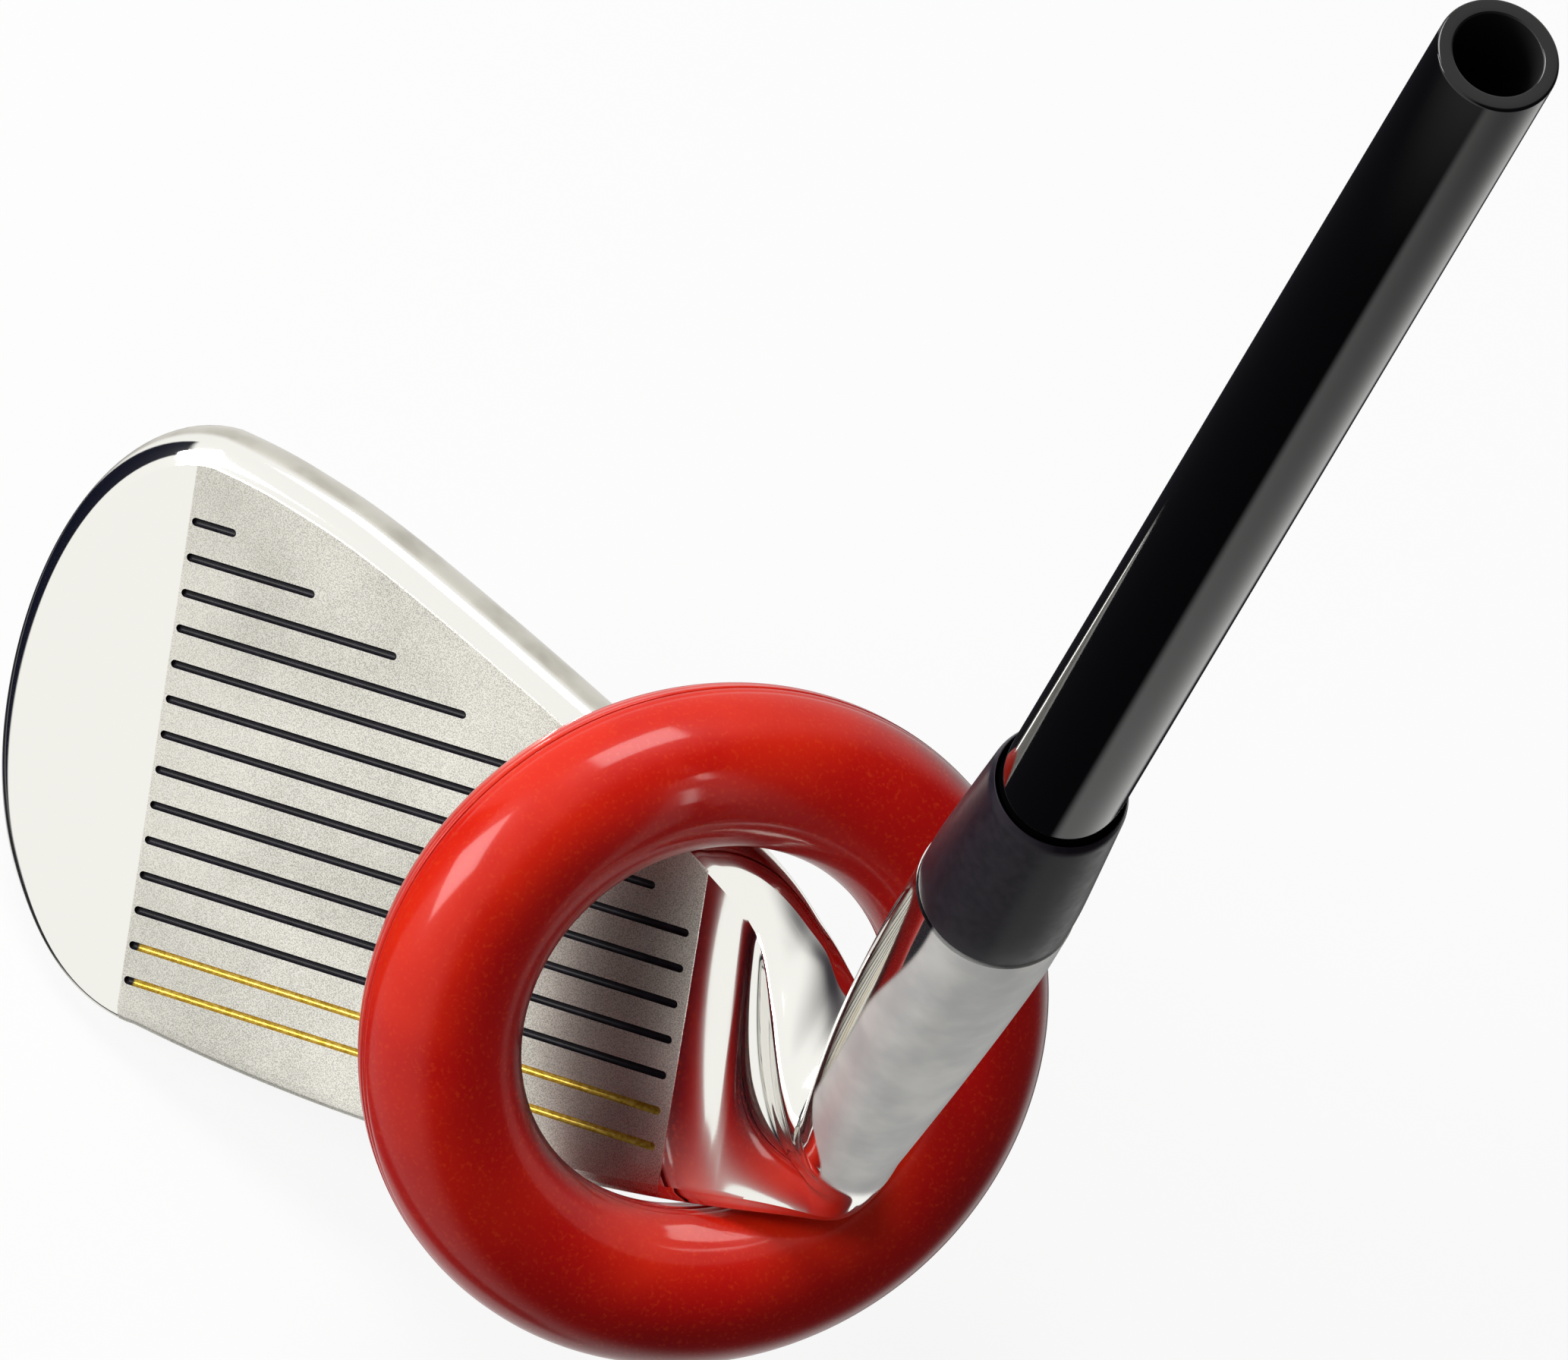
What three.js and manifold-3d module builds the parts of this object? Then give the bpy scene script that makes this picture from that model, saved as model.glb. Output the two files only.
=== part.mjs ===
// Golf iron, cut off a hand's width above the head, with a loose swing weight ring hooked round its heel.
// Millimetres. Row frame: +Z runs up the shaft, the origin is the centre of the shaft's cut end.
// The head is drawn in its sole frame: X from toe to heel, Y back from the face, Z up off the ground.

import * as THREE from 'three';
import { mergeVertices } from 'three/addons/utils/BufferGeometryUtils.js';
import Module from 'manifold-3d';

const wasm = await Module();
wasm.setup();

// Driving dimensions of the head
const LOFT = THREE.MathUtils.degToRad(38.2);
const LIE = THREE.MathUtils.degToRad(63.3);
const SEAM = new THREE.Vector3(98.7, 2.9, 58.9);
const HOSEL_RADIUS = 7.06;
const HOSEL_BORE_RADIUS = 5.05;
const HOSEL_BORE_DEPTH = 28;
const HOSEL_TAPER_START = 6;
const HOSEL_TAPER_END = 49;
const HOSEL_TAPER = 2.3;
const TOE_SIDE_POWER = 2.4;
const HEEL_SIDE_POWER = 1.25;
const TOE_CENTRE = { x: 1, v: 26 };
const TOE_REACH = 18.6;
const TOE_LOW_POWER = 2.3;
const TOE_RIM_CHANGES_FROM = 0.6;
const FACE_LOWEST_X = 30;
const FACE_LOWEST_V = -2;
const LOW_EDGE_RISE = 2.2;
const BLADE_MIDDLE_HEEL_V = 14;
const BACK_DEPTH = 7.5;
const TOPLINE = [
  [-2, 56.0], [1, 56.2], [9, 54.7], [20, 51.1], [40.5, 42], [58.4, 33.1], [65.5, 27.5], [69.2, 23.6],
  [71, 22.0], [73, 21.2],
];

// Rim profiles from the face's edge round to the back: inset from the outline, depth behind the face
const TOP_RIM = [[3.0, 0], [2.0, 0.35], [0.95, 1.0], [0.3, 1.8], [0, 2.9], [0.15, 4.4], [0.9, 5.6], [2.4, 6.2]];
const LOW_RIM = [[1.3, 0], [0.35, 0.4], [0, 1.2], [0.9, 4.0], [4.1, 9.0], [8.4, 13.2], [11.2, 14.6], [13.2, 13.6]];

// How the blade changes towards the heel, from these x on to the pivot of the neck
const BEVEL_WIDENS = { from: 36, by: 0.75 };
const SOLE_NARROWS = { from: 34, by: 0.5 };
const BACK_THINS = { from: 34, by: 0.15 };

// Driving dimensions of the neck, which turns about the crotch of the heel
const PIVOT = { x: 71, z: 18 };
const VALLEY_START_X = 60;
const CREASE_START_X = 69;
const CREASE_BAND = [1, 5];
const HOLLOW_FRONT = [60, 120].map(THREE.MathUtils.degToRad);
const HEEL_ROUNDING = 5.5;
const SQUARE_BY = 0.8;
const SHORTEST_ARC = 0.1;

// Driving dimensions of the grooves
const GROOVE_PITCH = 3.35;
const GROOVE_COUNT = 14;
const GROOVE_LOWEST_V = 4.35;
const GROOVE_WIDTH = 0.75;
const GROOVE_DEPTH = 0.45;
const GROOVE_LENGTH = 54.2;
const SHORT_GROOVES = [3.8, 12.5, 21.5, 29.2, 36.3, 43.3, 50.2];

// Driving dimensions of the pocket in the back
const POCKET = { low: 19, high: 43, toe: -6, heel: 45, corner: 6, depth: 2.2 };
const BEHIND_THE_HEAD = 20;

// Driving dimensions of the shaft and what sits on it
const GAP = 0.3;
const SHAFT_CUT_T = 149;
const SHAFT_CUT_RADIUS = 4.9;
const SHAFT_BUTT_RADIUS = 5.4;
const SHAFT_TIP_RADIUS = 4.75;
const SHAFT_SHOULDER = [2, 8];
const SHAFT_BORE_RADIUS = 3.3;
const SHAFT_SOCKET_RADIUS = 3.6;
const SHAFT_SOCKET_DEPTH = 60;
const FERRULE_LENGTH = 21;
const FERRULE_TOP_RADIUS = 6.1;
const FERRULE_BEVEL = 0.7;
const FERRULE_UNDER_HOSEL = 0.1;
const FERRULE_STRAIGHT = 4;
const FERRULE_LAND = 0.1;
const TIP_WEIGHT_LENGTH = 22;
const TIP_WEIGHT_FLANGE = 1.4;
const TIP_WEIGHT_CHAMFER = 1;

// Driving dimensions of the ring. It stands off the leading edge and the topline by the clearance.
const RING_AXIS = new THREE.Vector3(0.72, -0.551, 0.421).normalize();
const RING_STANDS_OFF = new THREE.Vector3(0.1151, -0.6709, -0.7326).normalize();
const RING_REST_DEPTH = 0.794;
const RING_CLEARANCE = 0.42;
const RING_RADIUS = 24.5;
const RING_SECTION_RADIUS = 7.2;
const RING_SKIN = 1.2;

// How finely the shapes are cut up
const FACE_POINTS = 4;
const BACK_POINTS = 3;
const BLADE_XS = [TOE_CENTRE.x, 8, 15, 22, 29, 36, 43, 49, 54, 58, 61, 63.5, 65.5, 67.5, 69.3, PIVOT.x];
const NECK_STEPS = 18;
const HOSEL_SHARES = [0.84, 0.68, 0.52, 0.36, 0.2, 0.1, 0];
const TOE_STEPS = 16;
const AROUND_SHAFT = 40;
const AROUND_RING = 56;
const RING_OUTSIDE_STEPS = 14;
const RING_INSIDE_STEPS = 8;

function material(color, metalness, roughness) {
  return new THREE.MeshStandardMaterial({ color, metalness, roughness });
}

const nickel = material(0xc9c7c0, 1, 0.25);
const satinBlack = material(0x231e26, 0, 0.45);
const glossBlack = material(0x050506, 0, 0.15);
const brass = material(0xb08d3c, 1, 0.35);
const castIron = material(0x3a3a3c, 0.8, 0.6);
const redVinyl = material(0xc8200f, 0, 0.2);

// A point of the face frame: x along the grooves, v up the face, w back into the head
function facePoint(x, v, w) {
  return new THREE.Vector3(
    x,
    v * Math.sin(LOFT) + w * Math.cos(LOFT),
    v * Math.cos(LOFT) - w * Math.sin(LOFT),
  );
}

const smooth = THREE.MathUtils.smoothstep;
const lerp = THREE.MathUtils.lerp;

// The blade's outline, seen square to the face
const topline = new THREE.SplineCurve(TOPLINE.map(([x, v]) => new THREE.Vector2(x, v))).getPoints(240);

function toplineV(x) {
  const after = topline.findIndex((point) => point.x >= x);
  const a = topline[after - 1];
  const b = topline[after];
  return lerp(a.y, b.y, (x - a.x) / (b.x - a.x));
}

function lowEdgeV(x) {
  const away = (FACE_LOWEST_X - x) / (FACE_LOWEST_X - TOE_CENTRE.x);
  return FACE_LOWEST_V + LOW_EDGE_RISE * Math.abs(away) ** 2;
}

function toeRadius(angle) {
  const upper = Math.sin(angle) > 0;
  const power = upper ? 2 : TOE_LOW_POWER;
  const reachV = upper ? toplineV(TOE_CENTRE.x) - TOE_CENTRE.v : TOE_CENTRE.v - lowEdgeV(TOE_CENTRE.x);
  const across = Math.abs(Math.cos(angle) / TOE_REACH) ** power;
  const along = Math.abs(Math.sin(angle) / reachV) ** power;
  return (across + along) ** (-1 / power);
}

// One half of a section, from the face's middle round the rim to the back's middle
function halfSection(place, rim, reach, backDepth) {
  const points = [];
  const edge = rim[0];
  const last = rim[rim.length - 1];
  for (let i = 0; i < FACE_POINTS; i += 1) points.push(place((reach - edge[0]) * (i / FACE_POINTS), 0));
  for (const [inset, depth] of rim) points.push(place(reach - inset, depth));
  for (let i = 1; i <= BACK_POINTS; i += 1) {
    const k = i / BACK_POINTS;
    points.push(place((reach - last[0]) * (1 - k), lerp(last[1], backDepth, smooth(k, 0, 0.8))));
  }
  return points;
}

function scaledRim(rim, insetScale, depthScale) {
  const edge = rim[0][0];
  return rim.map(([inset, depth]) => [inset <= edge ? inset * insetScale : inset, depth * depthScale]);
}

function mixRims(low, high, k) {
  return low.map(([inset, depth], i) => [lerp(inset, high[i][0], k), lerp(depth, high[i][1], k)]);
}

function middleV(x) {
  return lerp(TOE_CENTRE.v, BLADE_MIDDLE_HEEL_V, smooth(x, TOE_CENTRE.x, PIVOT.x));
}

// The sole narrows and the top bevel widens towards the heel
function bladeSection(x) {
  const mid = middleV(x);
  const bevel = 1 + BEVEL_WIDENS.by * smooth(x, BEVEL_WIDENS.from, PIVOT.x);
  const soleDepth = 1 - SOLE_NARROWS.by * smooth(x, SOLE_NARROWS.from, PIVOT.x);
  const low = LOW_RIM.map(([inset, depth]) => [inset * (inset > 2 ? soleDepth : 1), depth * soleDepth]);
  const top = scaledRim(TOP_RIM, bevel, 1);
  const back = BACK_DEPTH * (1 - BACK_THINS.by * smooth(x, BACK_THINS.from, PIVOT.x));
  const upper = halfSection((r, w) => facePoint(x, mid + r, w), top, toplineV(x) - mid, back);
  const lower = halfSection((r, w) => facePoint(x, mid - r, w), low, mid - lowEdgeV(x), back);
  return upper.concat(lower.reverse().slice(1, -1));
}

// The toe's half sections turn about the middle of the blade's toe end
function toeSection(turn) {
  const angle = Math.PI / 2 + turn;
  const share = smooth(turn, TOE_RIM_CHANGES_FROM, Math.PI);
  const rim = mixRims(TOP_RIM, LOW_RIM, share);
  const place = (r, w) => facePoint(
    TOE_CENTRE.x + r * Math.cos(angle), TOE_CENTRE.v + r * Math.sin(angle), w);
  return halfSection(place, rim, toeRadius(angle), BACK_DEPTH);
}

const shaftUp = new THREE.Vector3(Math.cos(LIE), 0, Math.sin(LIE));
const heelward = new THREE.Vector3(Math.sin(LIE), 0, -Math.cos(LIE));

// Half widths of the hosel on its toe side and its heel side, t being the height above the seam
function hoselRadii(t) {
  const along = Math.max(0, -t - HOSEL_TAPER_START) / (HOSEL_TAPER_END - HOSEL_TAPER_START);
  return [TOE_SIDE_POWER, HEEL_SIDE_POWER].map((power) => HOSEL_RADIUS - HOSEL_TAPER * along ** power);
}

// A hosel ring as offsets from the shaft's axis: y back, e towards the heel
function hoselOffsets(t, count) {
  const [toeSide, heelSide] = hoselRadii(t);
  const radius = (heelSide + toeSide) / 2;
  const offsets = [];
  for (let i = 0; i < count; i += 1) {
    const angle = (i / count) * Math.PI * 2;
    offsets.push({ y: -radius * Math.cos(angle), e: (heelSide - toeSide) / 2 - radius * Math.sin(angle) });
  }
  return offsets;
}

const pivotToSeam = new THREE.Vector3(PIVOT.x - SEAM.x, 0, PIVOT.z - SEAM.z);
const FAN_END_T = pivotToSeam.dot(shaftUp);
const AXIS_E = -pivotToSeam.dot(heelward);

// The smaller of two lengths, rounded off where they are near each other
function roundedLeast(a, b) {
  return (a ** -HEEL_ROUNDING + b ** -HEEL_ROUNDING) ** (-1 / HEEL_ROUNDING);
}

// The blade's loops and the neck's, which turn from the blade's end to the hosel. On the front the neck
// leaves the face's plane in a hollow that starts in the blade already, and on the back only in the turn.
function bladeAndNeck(blades) {
  const bladeEnd = blades[blades.length - 1];
  const count = bladeEnd.length;
  const ring = hoselOffsets(FAN_END_T, count);
  const blade = bladeEnd.map((p) => ({ y: p.y, e: PIVOT.z - p.z }));
  const low = Math.min(...blade.map((p) => p.e));
  const high = Math.max(...blade.map((p) => p.e));
  const ringLow = AXIS_E + Math.min(...ring.map((p) => p.e));
  const ringHigh = AXIS_E + Math.max(...ring.map((p) => p.e));
  const soleReach = (high ** -HEEL_ROUNDING - (ringHigh / Math.cos(LIE)) ** -HEEL_ROUNDING) ** (-1 / HEEL_ROUNDING);
  const turns = [];
  for (let step = 0; step <= NECK_STEPS; step += 1) turns.push((step / NECK_STEPS) * LIE);

  const neckwards = blade.map((p, i) => {
    const bladeShare = (p.e - low) / (high - low);
    const ringShare = (AXIS_E + ring[i].e - ringLow) / (ringHigh - ringLow);
    const reach = turns.map((turn, step) => {
      if (step === 0) return p.e;
      const k = step / NECK_STEPS;
      const bottom = roundedLeast(soleReach / Math.cos(turn), ringHigh / Math.cos(LIE - turn));
      const top = lerp(low, ringLow, smooth(k, 0, 1));
      return lerp(top, bottom, lerp(bladeShare, ringShare, smooth(k, 0, SQUARE_BY)));
    });
    const arcs = [0];
    for (let step = 1; step <= NECK_STEPS; step += 1) {
      arcs.push(arcs[step - 1] + ((reach[step] + reach[step - 1]) / 2) * (LIE / NECK_STEPS));
    }
    const angle = (i / count) * Math.PI * 2;
    const frontness = 1 - smooth(Math.min(angle, 2 * Math.PI - angle), ...HOLLOW_FRONT);
    const startX = lerp(CREASE_START_X, VALLEY_START_X, smooth(p.e, ...CREASE_BAND));
    const whole = PIVOT.x - startX + Math.max(arcs[NECK_STEPS], SHORTEST_ARC);
    return { reach, arcs, frontness, startX, whole, y: p.y, endY: SEAM.y + ring[i].y };
  });

  for (const loop of blades) {
    loop.forEach((p, i) => {
      const { startX, whole, frontness, endY } = neckwards[i];
      p.y = lerp(p.y, endY, frontness * smooth((p.x - startX) / whole, 0, 1));
    });
  }
  const neck = turns.slice(1).map((turn, index) => neckwards.map((way) => {
    const step = index + 1;
    const front = smooth((PIVOT.x - way.startX + way.arcs[step]) / way.whole, 0, 1);
    const back = smooth(step / NECK_STEPS, 0, 1);
    const y = lerp(way.y, way.endY, lerp(back, front, way.frontness));
    const e = way.reach[step];
    return new THREE.Vector3(PIVOT.x + e * Math.sin(turn), y, PIVOT.z - e * Math.cos(turn));
  }));
  return blades.concat(neck);
}

function hoselSection(t, count) {
  return hoselOffsets(t, count).map((p) => SEAM.clone()
    .addScaledVector(shaftUp, t)
    .addScaledVector(heelward, p.e)
    .add(new THREE.Vector3(0, p.y, 0)));
}

// Closed body from the toe's half sections and the loops that follow them
function loftedHead() {
  const loops = bladeAndNeck(BLADE_XS.map(bladeSection));
  const count = loops[0].length;
  for (const share of HOSEL_SHARES) loops.push(hoselSection(FAN_END_T * share, count));

  const positions = [];
  const faces = [];
  const add = (p) => positions.push(p.x, p.y, p.z) / 3 - 1;
  const first = [];
  for (const loop of loops) {
    first.push(positions.length / 3);
    loop.forEach(add);
  }
  for (let s = 0; s + 1 < loops.length; s += 1) {
    for (let i = 0; i < count; i += 1) {
      const j = (i + 1) % count;
      const [a, b, c, d] = [first[s] + i, first[s] + j, first[s + 1] + j, first[s + 1] + i];
      faces.push(a, c, b, a, d, c);
    }
  }
  const half = count / 2;
  let previous = [];
  for (let i = 0; i <= half; i += 1) previous.push(i);
  for (let step = 1; step <= TOE_STEPS; step += 1) {
    const arc = toeSection((step / TOE_STEPS) * Math.PI);
    const current = [0];
    for (let i = 1; i < half; i += 1) current.push(step === TOE_STEPS ? count - i : add(arc[i]));
    current.push(half);
    faces.push(0, previous[1], current[1]);
    for (let i = 1; i + 1 < half; i += 1) {
      faces.push(previous[i], current[i + 1], current[i], previous[i], previous[i + 1], current[i + 1]);
    }
    faces.push(previous[half - 1], half, current[half - 1]);
    previous = current;
  }
  const seamCentre = add(SEAM);
  const last = first[first.length - 1];
  for (let i = 0; i < count; i += 1) faces.push(last + ((i + 1) % count), last + i, seamCentre);
  const geometry = new THREE.BufferGeometry();
  geometry.setAttribute('position', new THREE.Float32BufferAttribute(positions, 3));
  geometry.setIndex(faces);
  return geometry;
}

function toSolid(geometry) {
  const bare = geometry.clone();
  bare.deleteAttribute('normal');
  bare.deleteAttribute('uv');
  const merged = mergeVertices(bare, 1e-4);
  return new wasm.Manifold(new wasm.Mesh({
    numProp: 3,
    vertProperties: new Float32Array(merged.attributes.position.array),
    triVerts: new Uint32Array(merged.index.array),
  }));
}

function toGeometry(solid) {
  const mesh = solid.getMesh();
  const geometry = new THREE.BufferGeometry();
  geometry.setAttribute('position', new THREE.BufferAttribute(mesh.vertProperties, 3));
  geometry.setIndex(new THREE.BufferAttribute(mesh.triVerts, 1));
  return geometry;
}

// A flat outline on the face, given in x and v, as a block between two depths behind the face
function cutterFromFace(outline, from, to) {
  const block = new THREE.ExtrudeGeometry(outline, { depth: to - from, bevelEnabled: false, curveSegments: 3 });
  block.translate(0, 0, -to);
  const outward = facePoint(0, 0, -1);
  return block.applyMatrix4(new THREE.Matrix4().makeBasis(new THREE.Vector3(1, 0, 0), facePoint(0, 1, 0), outward));
}

function roundedBox(x0, x1, v0, v1, corner) {
  const shape = new THREE.Shape();
  shape.moveTo(x0 + corner, v0);
  shape.lineTo(x1 - corner, v0);
  shape.absarc(x1 - corner, v0 + corner, corner, -Math.PI / 2, 0);
  shape.lineTo(x1, v1 - corner);
  shape.absarc(x1 - corner, v1 - corner, corner, 0, Math.PI / 2);
  shape.lineTo(x0 + corner, v1);
  shape.absarc(x0 + corner, v1 - corner, corner, Math.PI / 2, Math.PI);
  shape.lineTo(x0, v0 + corner);
  shape.absarc(x0 + corner, v0 + corner, corner, Math.PI, Math.PI * 1.5);
  return shape;
}

function ironHead() {
  let head = toSolid(loftedHead());
  for (let i = 0; i < GROOVE_COUNT; i += 1) {
    const v = GROOVE_LOWEST_V + GROOVE_PITCH * (GROOVE_COUNT - 1 - i);
    const length = SHORT_GROOVES[i] ?? GROOVE_LENGTH;
    const half = GROOVE_WIDTH / 2;
    const outline = roundedBox(-half, length + half, v - half, v + half, half);
    head = head.subtract(toSolid(cutterFromFace(outline, -1, GROOVE_DEPTH)));
  }
  const pocket = roundedBox(POCKET.toe, POCKET.heel, POCKET.low, POCKET.high, POCKET.corner);
  head = head.subtract(toSolid(cutterFromFace(pocket, BACK_DEPTH - POCKET.depth, BEHIND_THE_HEAD)));
  const bore = new THREE.CylinderGeometry(HOSEL_BORE_RADIUS, HOSEL_BORE_RADIUS, HOSEL_BORE_DEPTH + 1, AROUND_SHAFT);
  bore.rotateX(Math.PI / 2);
  bore.translate(0, 0, (1 - HOSEL_BORE_DEPTH) / 2);
  bore.rotateY(Math.PI / 2 - LIE);
  bore.translate(SEAM.x, SEAM.y, SEAM.z);
  head = head.subtract(toSolid(bore));
  return toGeometry(head);
}

// A body turned about the shaft's axis from its radius and t, the height above the hosel's seam
function turned(profile) {
  const closed = [...profile, profile[0]].map(([radius, t]) => new THREE.Vector2(radius, t - SHAFT_CUT_T));
  return new THREE.LatheGeometry(closed, AROUND_SHAFT).rotateX(Math.PI / 2);
}

const shaftTipT = -HOSEL_BORE_DEPTH + TIP_WEIGHT_FLANGE + 2 * GAP;

function shaftTube() {
  const [low, high] = SHAFT_SHOULDER;
  return turned([
    [SHAFT_BORE_RADIUS, shaftTipT],
    [SHAFT_TIP_RADIUS, shaftTipT],
    [SHAFT_TIP_RADIUS, low],
    [SHAFT_BUTT_RADIUS, high],
    [SHAFT_CUT_RADIUS, SHAFT_CUT_T],
    [SHAFT_SOCKET_RADIUS, SHAFT_CUT_T],
    [SHAFT_SOCKET_RADIUS, SHAFT_CUT_T - SHAFT_SOCKET_DEPTH],
    [SHAFT_BORE_RADIUS, SHAFT_CUT_T - SHAFT_SOCKET_DEPTH],
  ]);
}

function ferrule() {
  const [low, high] = SHAFT_SHOULDER;
  const bottomRadius = HOSEL_RADIUS - FERRULE_UNDER_HOSEL;
  const topBore = SHAFT_BUTT_RADIUS + GAP;
  return turned([
    [SHAFT_TIP_RADIUS + GAP, GAP],
    [bottomRadius, GAP],
    [bottomRadius, FERRULE_STRAIGHT],
    [FERRULE_TOP_RADIUS, FERRULE_LENGTH - FERRULE_BEVEL],
    [topBore + FERRULE_LAND, FERRULE_LENGTH],
    [topBore, FERRULE_LENGTH],
    [topBore, high],
    [SHAFT_TIP_RADIUS + GAP, low],
  ]);
}

function tipWeight() {
  const bottom = -HOSEL_BORE_DEPTH + GAP;
  const plug = SHAFT_BORE_RADIUS - GAP;
  const outline = [
    [0, bottom],
    [SHAFT_TIP_RADIUS - GAP, bottom],
    [SHAFT_TIP_RADIUS - GAP, bottom + TIP_WEIGHT_FLANGE],
    [plug, bottom + TIP_WEIGHT_FLANGE],
    [plug, bottom + TIP_WEIGHT_LENGTH - TIP_WEIGHT_CHAMFER],
    [plug - TIP_WEIGHT_CHAMFER, bottom + TIP_WEIGHT_LENGTH],
    [0, bottom + TIP_WEIGHT_LENGTH],
  ].map(([radius, t]) => new THREE.Vector2(radius, t - SHAFT_CUT_T));
  return new THREE.LatheGeometry(outline, AROUND_SHAFT).rotateX(Math.PI / 2);
}

// A half shell of the ring's skin, on the ring's front side for side = 1 and its rear side for side = -1
function ringCover(side) {
  const inner = RING_SECTION_RADIUS - RING_SKIN;
  const arc = (radius, steps) => new THREE.EllipseCurve(RING_RADIUS, 0, radius, radius, 0, Math.PI).getPoints(steps);
  const outside = arc(RING_SECTION_RADIUS, RING_OUTSIDE_STEPS);
  const profile = [...outside, ...arc(inner, RING_INSIDE_STEPS).reverse(), outside[0]];
  const shell = new THREE.LatheGeometry(profile, AROUND_RING).rotateX(Math.PI / 2);
  shell.translate(0, 0, GAP / 2);
  return side > 0 ? shell : shell.rotateX(Math.PI);
}

function ringCentreAt(x) {
  const rest = facePoint(x, lowEdgeV(x), RING_REST_DEPTH);
  const outward = RING_STANDS_OFF.clone().projectOnPlane(RING_AXIS).normalize();
  return rest
    .addScaledVector(RING_STANDS_OFF, RING_SECTION_RADIUS + RING_CLEARANCE)
    .addScaledVector(outward, -RING_RADIUS);
}

// How far the topline's rim stays from the ring's skin
function toplineClearance(centre) {
  const gaps = topline.flatMap(({ x, y }) => TOP_RIM.map(([inset, depth]) => {
    const from = facePoint(x, y - inset, depth).sub(centre);
    const lift = from.dot(RING_AXIS);
    const across = Math.sqrt(from.lengthSq() - lift * lift);
    return Math.hypot(across - RING_RADIUS, lift) - RING_SECTION_RADIUS;
  }));
  return Math.min(...gaps);
}

// The ring has slid along the leading edge towards the toe, as far as the topline leaves it room
function ringCentre() {
  let toeX = TOE_CENTRE.x;
  let heelX = PIVOT.x;
  for (let i = 0; i < 40; i += 1) {
    const x = (toeX + heelX) / 2;
    if (toplineClearance(ringCentreAt(x)) < RING_CLEARANCE) toeX = x;
    else heelX = x;
  }
  return ringCentreAt(heelX);
}

function ringCore() {
  const core = RING_SECTION_RADIUS - RING_SKIN - GAP;
  return new THREE.TorusGeometry(RING_RADIUS, core, 2 * RING_INSIDE_STEPS, AROUND_RING);
}

function piece(name, geometry, finish) {
  const mesh = new THREE.Mesh(geometry, finish);
  mesh.name = name;
  return mesh;
}

const shaft = new THREE.Group();
shaft.add(
  piece('shaft_tube', shaftTube(), glossBlack),
  piece('ferrule', ferrule(), satinBlack),
  piece('tip_weight', tipWeight(), brass),
);

const ring = new THREE.Group();
ring.position.copy(ringCentre());
ring.quaternion.setFromUnitVectors(new THREE.Vector3(0, 0, 1), RING_AXIS);
ring.add(
  piece('ring_core', ringCore(), castIron),
  piece('ring_cover_front', ringCover(1), redVinyl),
  piece('ring_cover_rear', ringCover(-1), redVinyl),
);

// The sole frame leans back by the lie angle, so that the shaft stands along +Z
const soleFrame = new THREE.Group();
soleFrame.rotation.y = LIE - Math.PI / 2;
const cutCentre = SEAM.clone().addScaledVector(shaftUp, SHAFT_CUT_T);
soleFrame.position.copy(cutCentre).applyEuler(soleFrame.rotation).negate();
soleFrame.add(piece('iron_head', ironHead(), nickel), ring);

const club = new THREE.Group();
club.name = 'golf_iron_with_swing_weight_ring';
club.add(shaft, soleFrame);

export default club;
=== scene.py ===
"""Golf iron, cut off short above the head, with a loose red swing weight ring hooked round its heel.

Metres, in the row frame: +Z runs up the shaft, the origin is the centre of the shaft's cut end.
"""

import math

import bmesh
import bpy
import numpy as np
from mathutils import Matrix, Vector


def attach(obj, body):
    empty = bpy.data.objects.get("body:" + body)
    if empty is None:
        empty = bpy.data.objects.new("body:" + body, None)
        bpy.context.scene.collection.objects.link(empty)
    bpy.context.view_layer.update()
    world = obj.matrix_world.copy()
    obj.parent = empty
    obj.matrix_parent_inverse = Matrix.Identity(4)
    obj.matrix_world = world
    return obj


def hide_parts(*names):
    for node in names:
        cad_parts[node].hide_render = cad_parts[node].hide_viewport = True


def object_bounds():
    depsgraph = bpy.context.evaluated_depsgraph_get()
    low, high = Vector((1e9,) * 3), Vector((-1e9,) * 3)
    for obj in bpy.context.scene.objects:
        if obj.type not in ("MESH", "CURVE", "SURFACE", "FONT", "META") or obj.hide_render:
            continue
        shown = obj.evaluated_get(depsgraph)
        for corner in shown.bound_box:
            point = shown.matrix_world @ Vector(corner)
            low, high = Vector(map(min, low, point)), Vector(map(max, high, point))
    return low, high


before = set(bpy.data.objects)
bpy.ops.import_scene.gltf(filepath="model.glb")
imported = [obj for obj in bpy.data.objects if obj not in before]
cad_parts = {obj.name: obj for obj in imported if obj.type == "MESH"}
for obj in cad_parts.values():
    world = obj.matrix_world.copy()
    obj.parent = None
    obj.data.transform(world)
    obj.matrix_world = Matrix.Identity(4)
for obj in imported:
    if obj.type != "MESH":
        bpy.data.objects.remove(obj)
cad_box = [list(corner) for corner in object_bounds()]
MM = 0.001

# Iron head
# Forged steel with nickel plating, one piece from the toe to the top of the hosel. The face is milled
# flat, blasted between two lines and left polished outside them, and its grooves are filled with paint.
# Sizes are in millimetres, in the head's sole frame: X from toe to heel, Y back, Z up off the ground.
LOFT = math.radians(38.2)
LIE = math.radians(63.3)
SEAM = np.array((98.7, 2.9, 58.9))
SHAFT_CUT_T = 149
HOSEL_RADIUS = 7.06
HOSEL_BORE_RADIUS = 5.05
HOSEL_BORE_DEPTH = 28
HOSEL_TAPER_START = 6
HOSEL_TAPER = 2.3
TOE_SIDE_POWER = 2.4
HEEL_SIDE_POWER = 1.25
HOSEL_LOW_T = -49
TOE_CENTRE = (1, 26)
TOE_REACH = 18.6
TOE_LOW_POWER = 2.1
TOE_RIM_TURN = 2.3
FACE_LOWEST = (30, -2)
LOW_EDGE_RISE = 2.2
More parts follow.
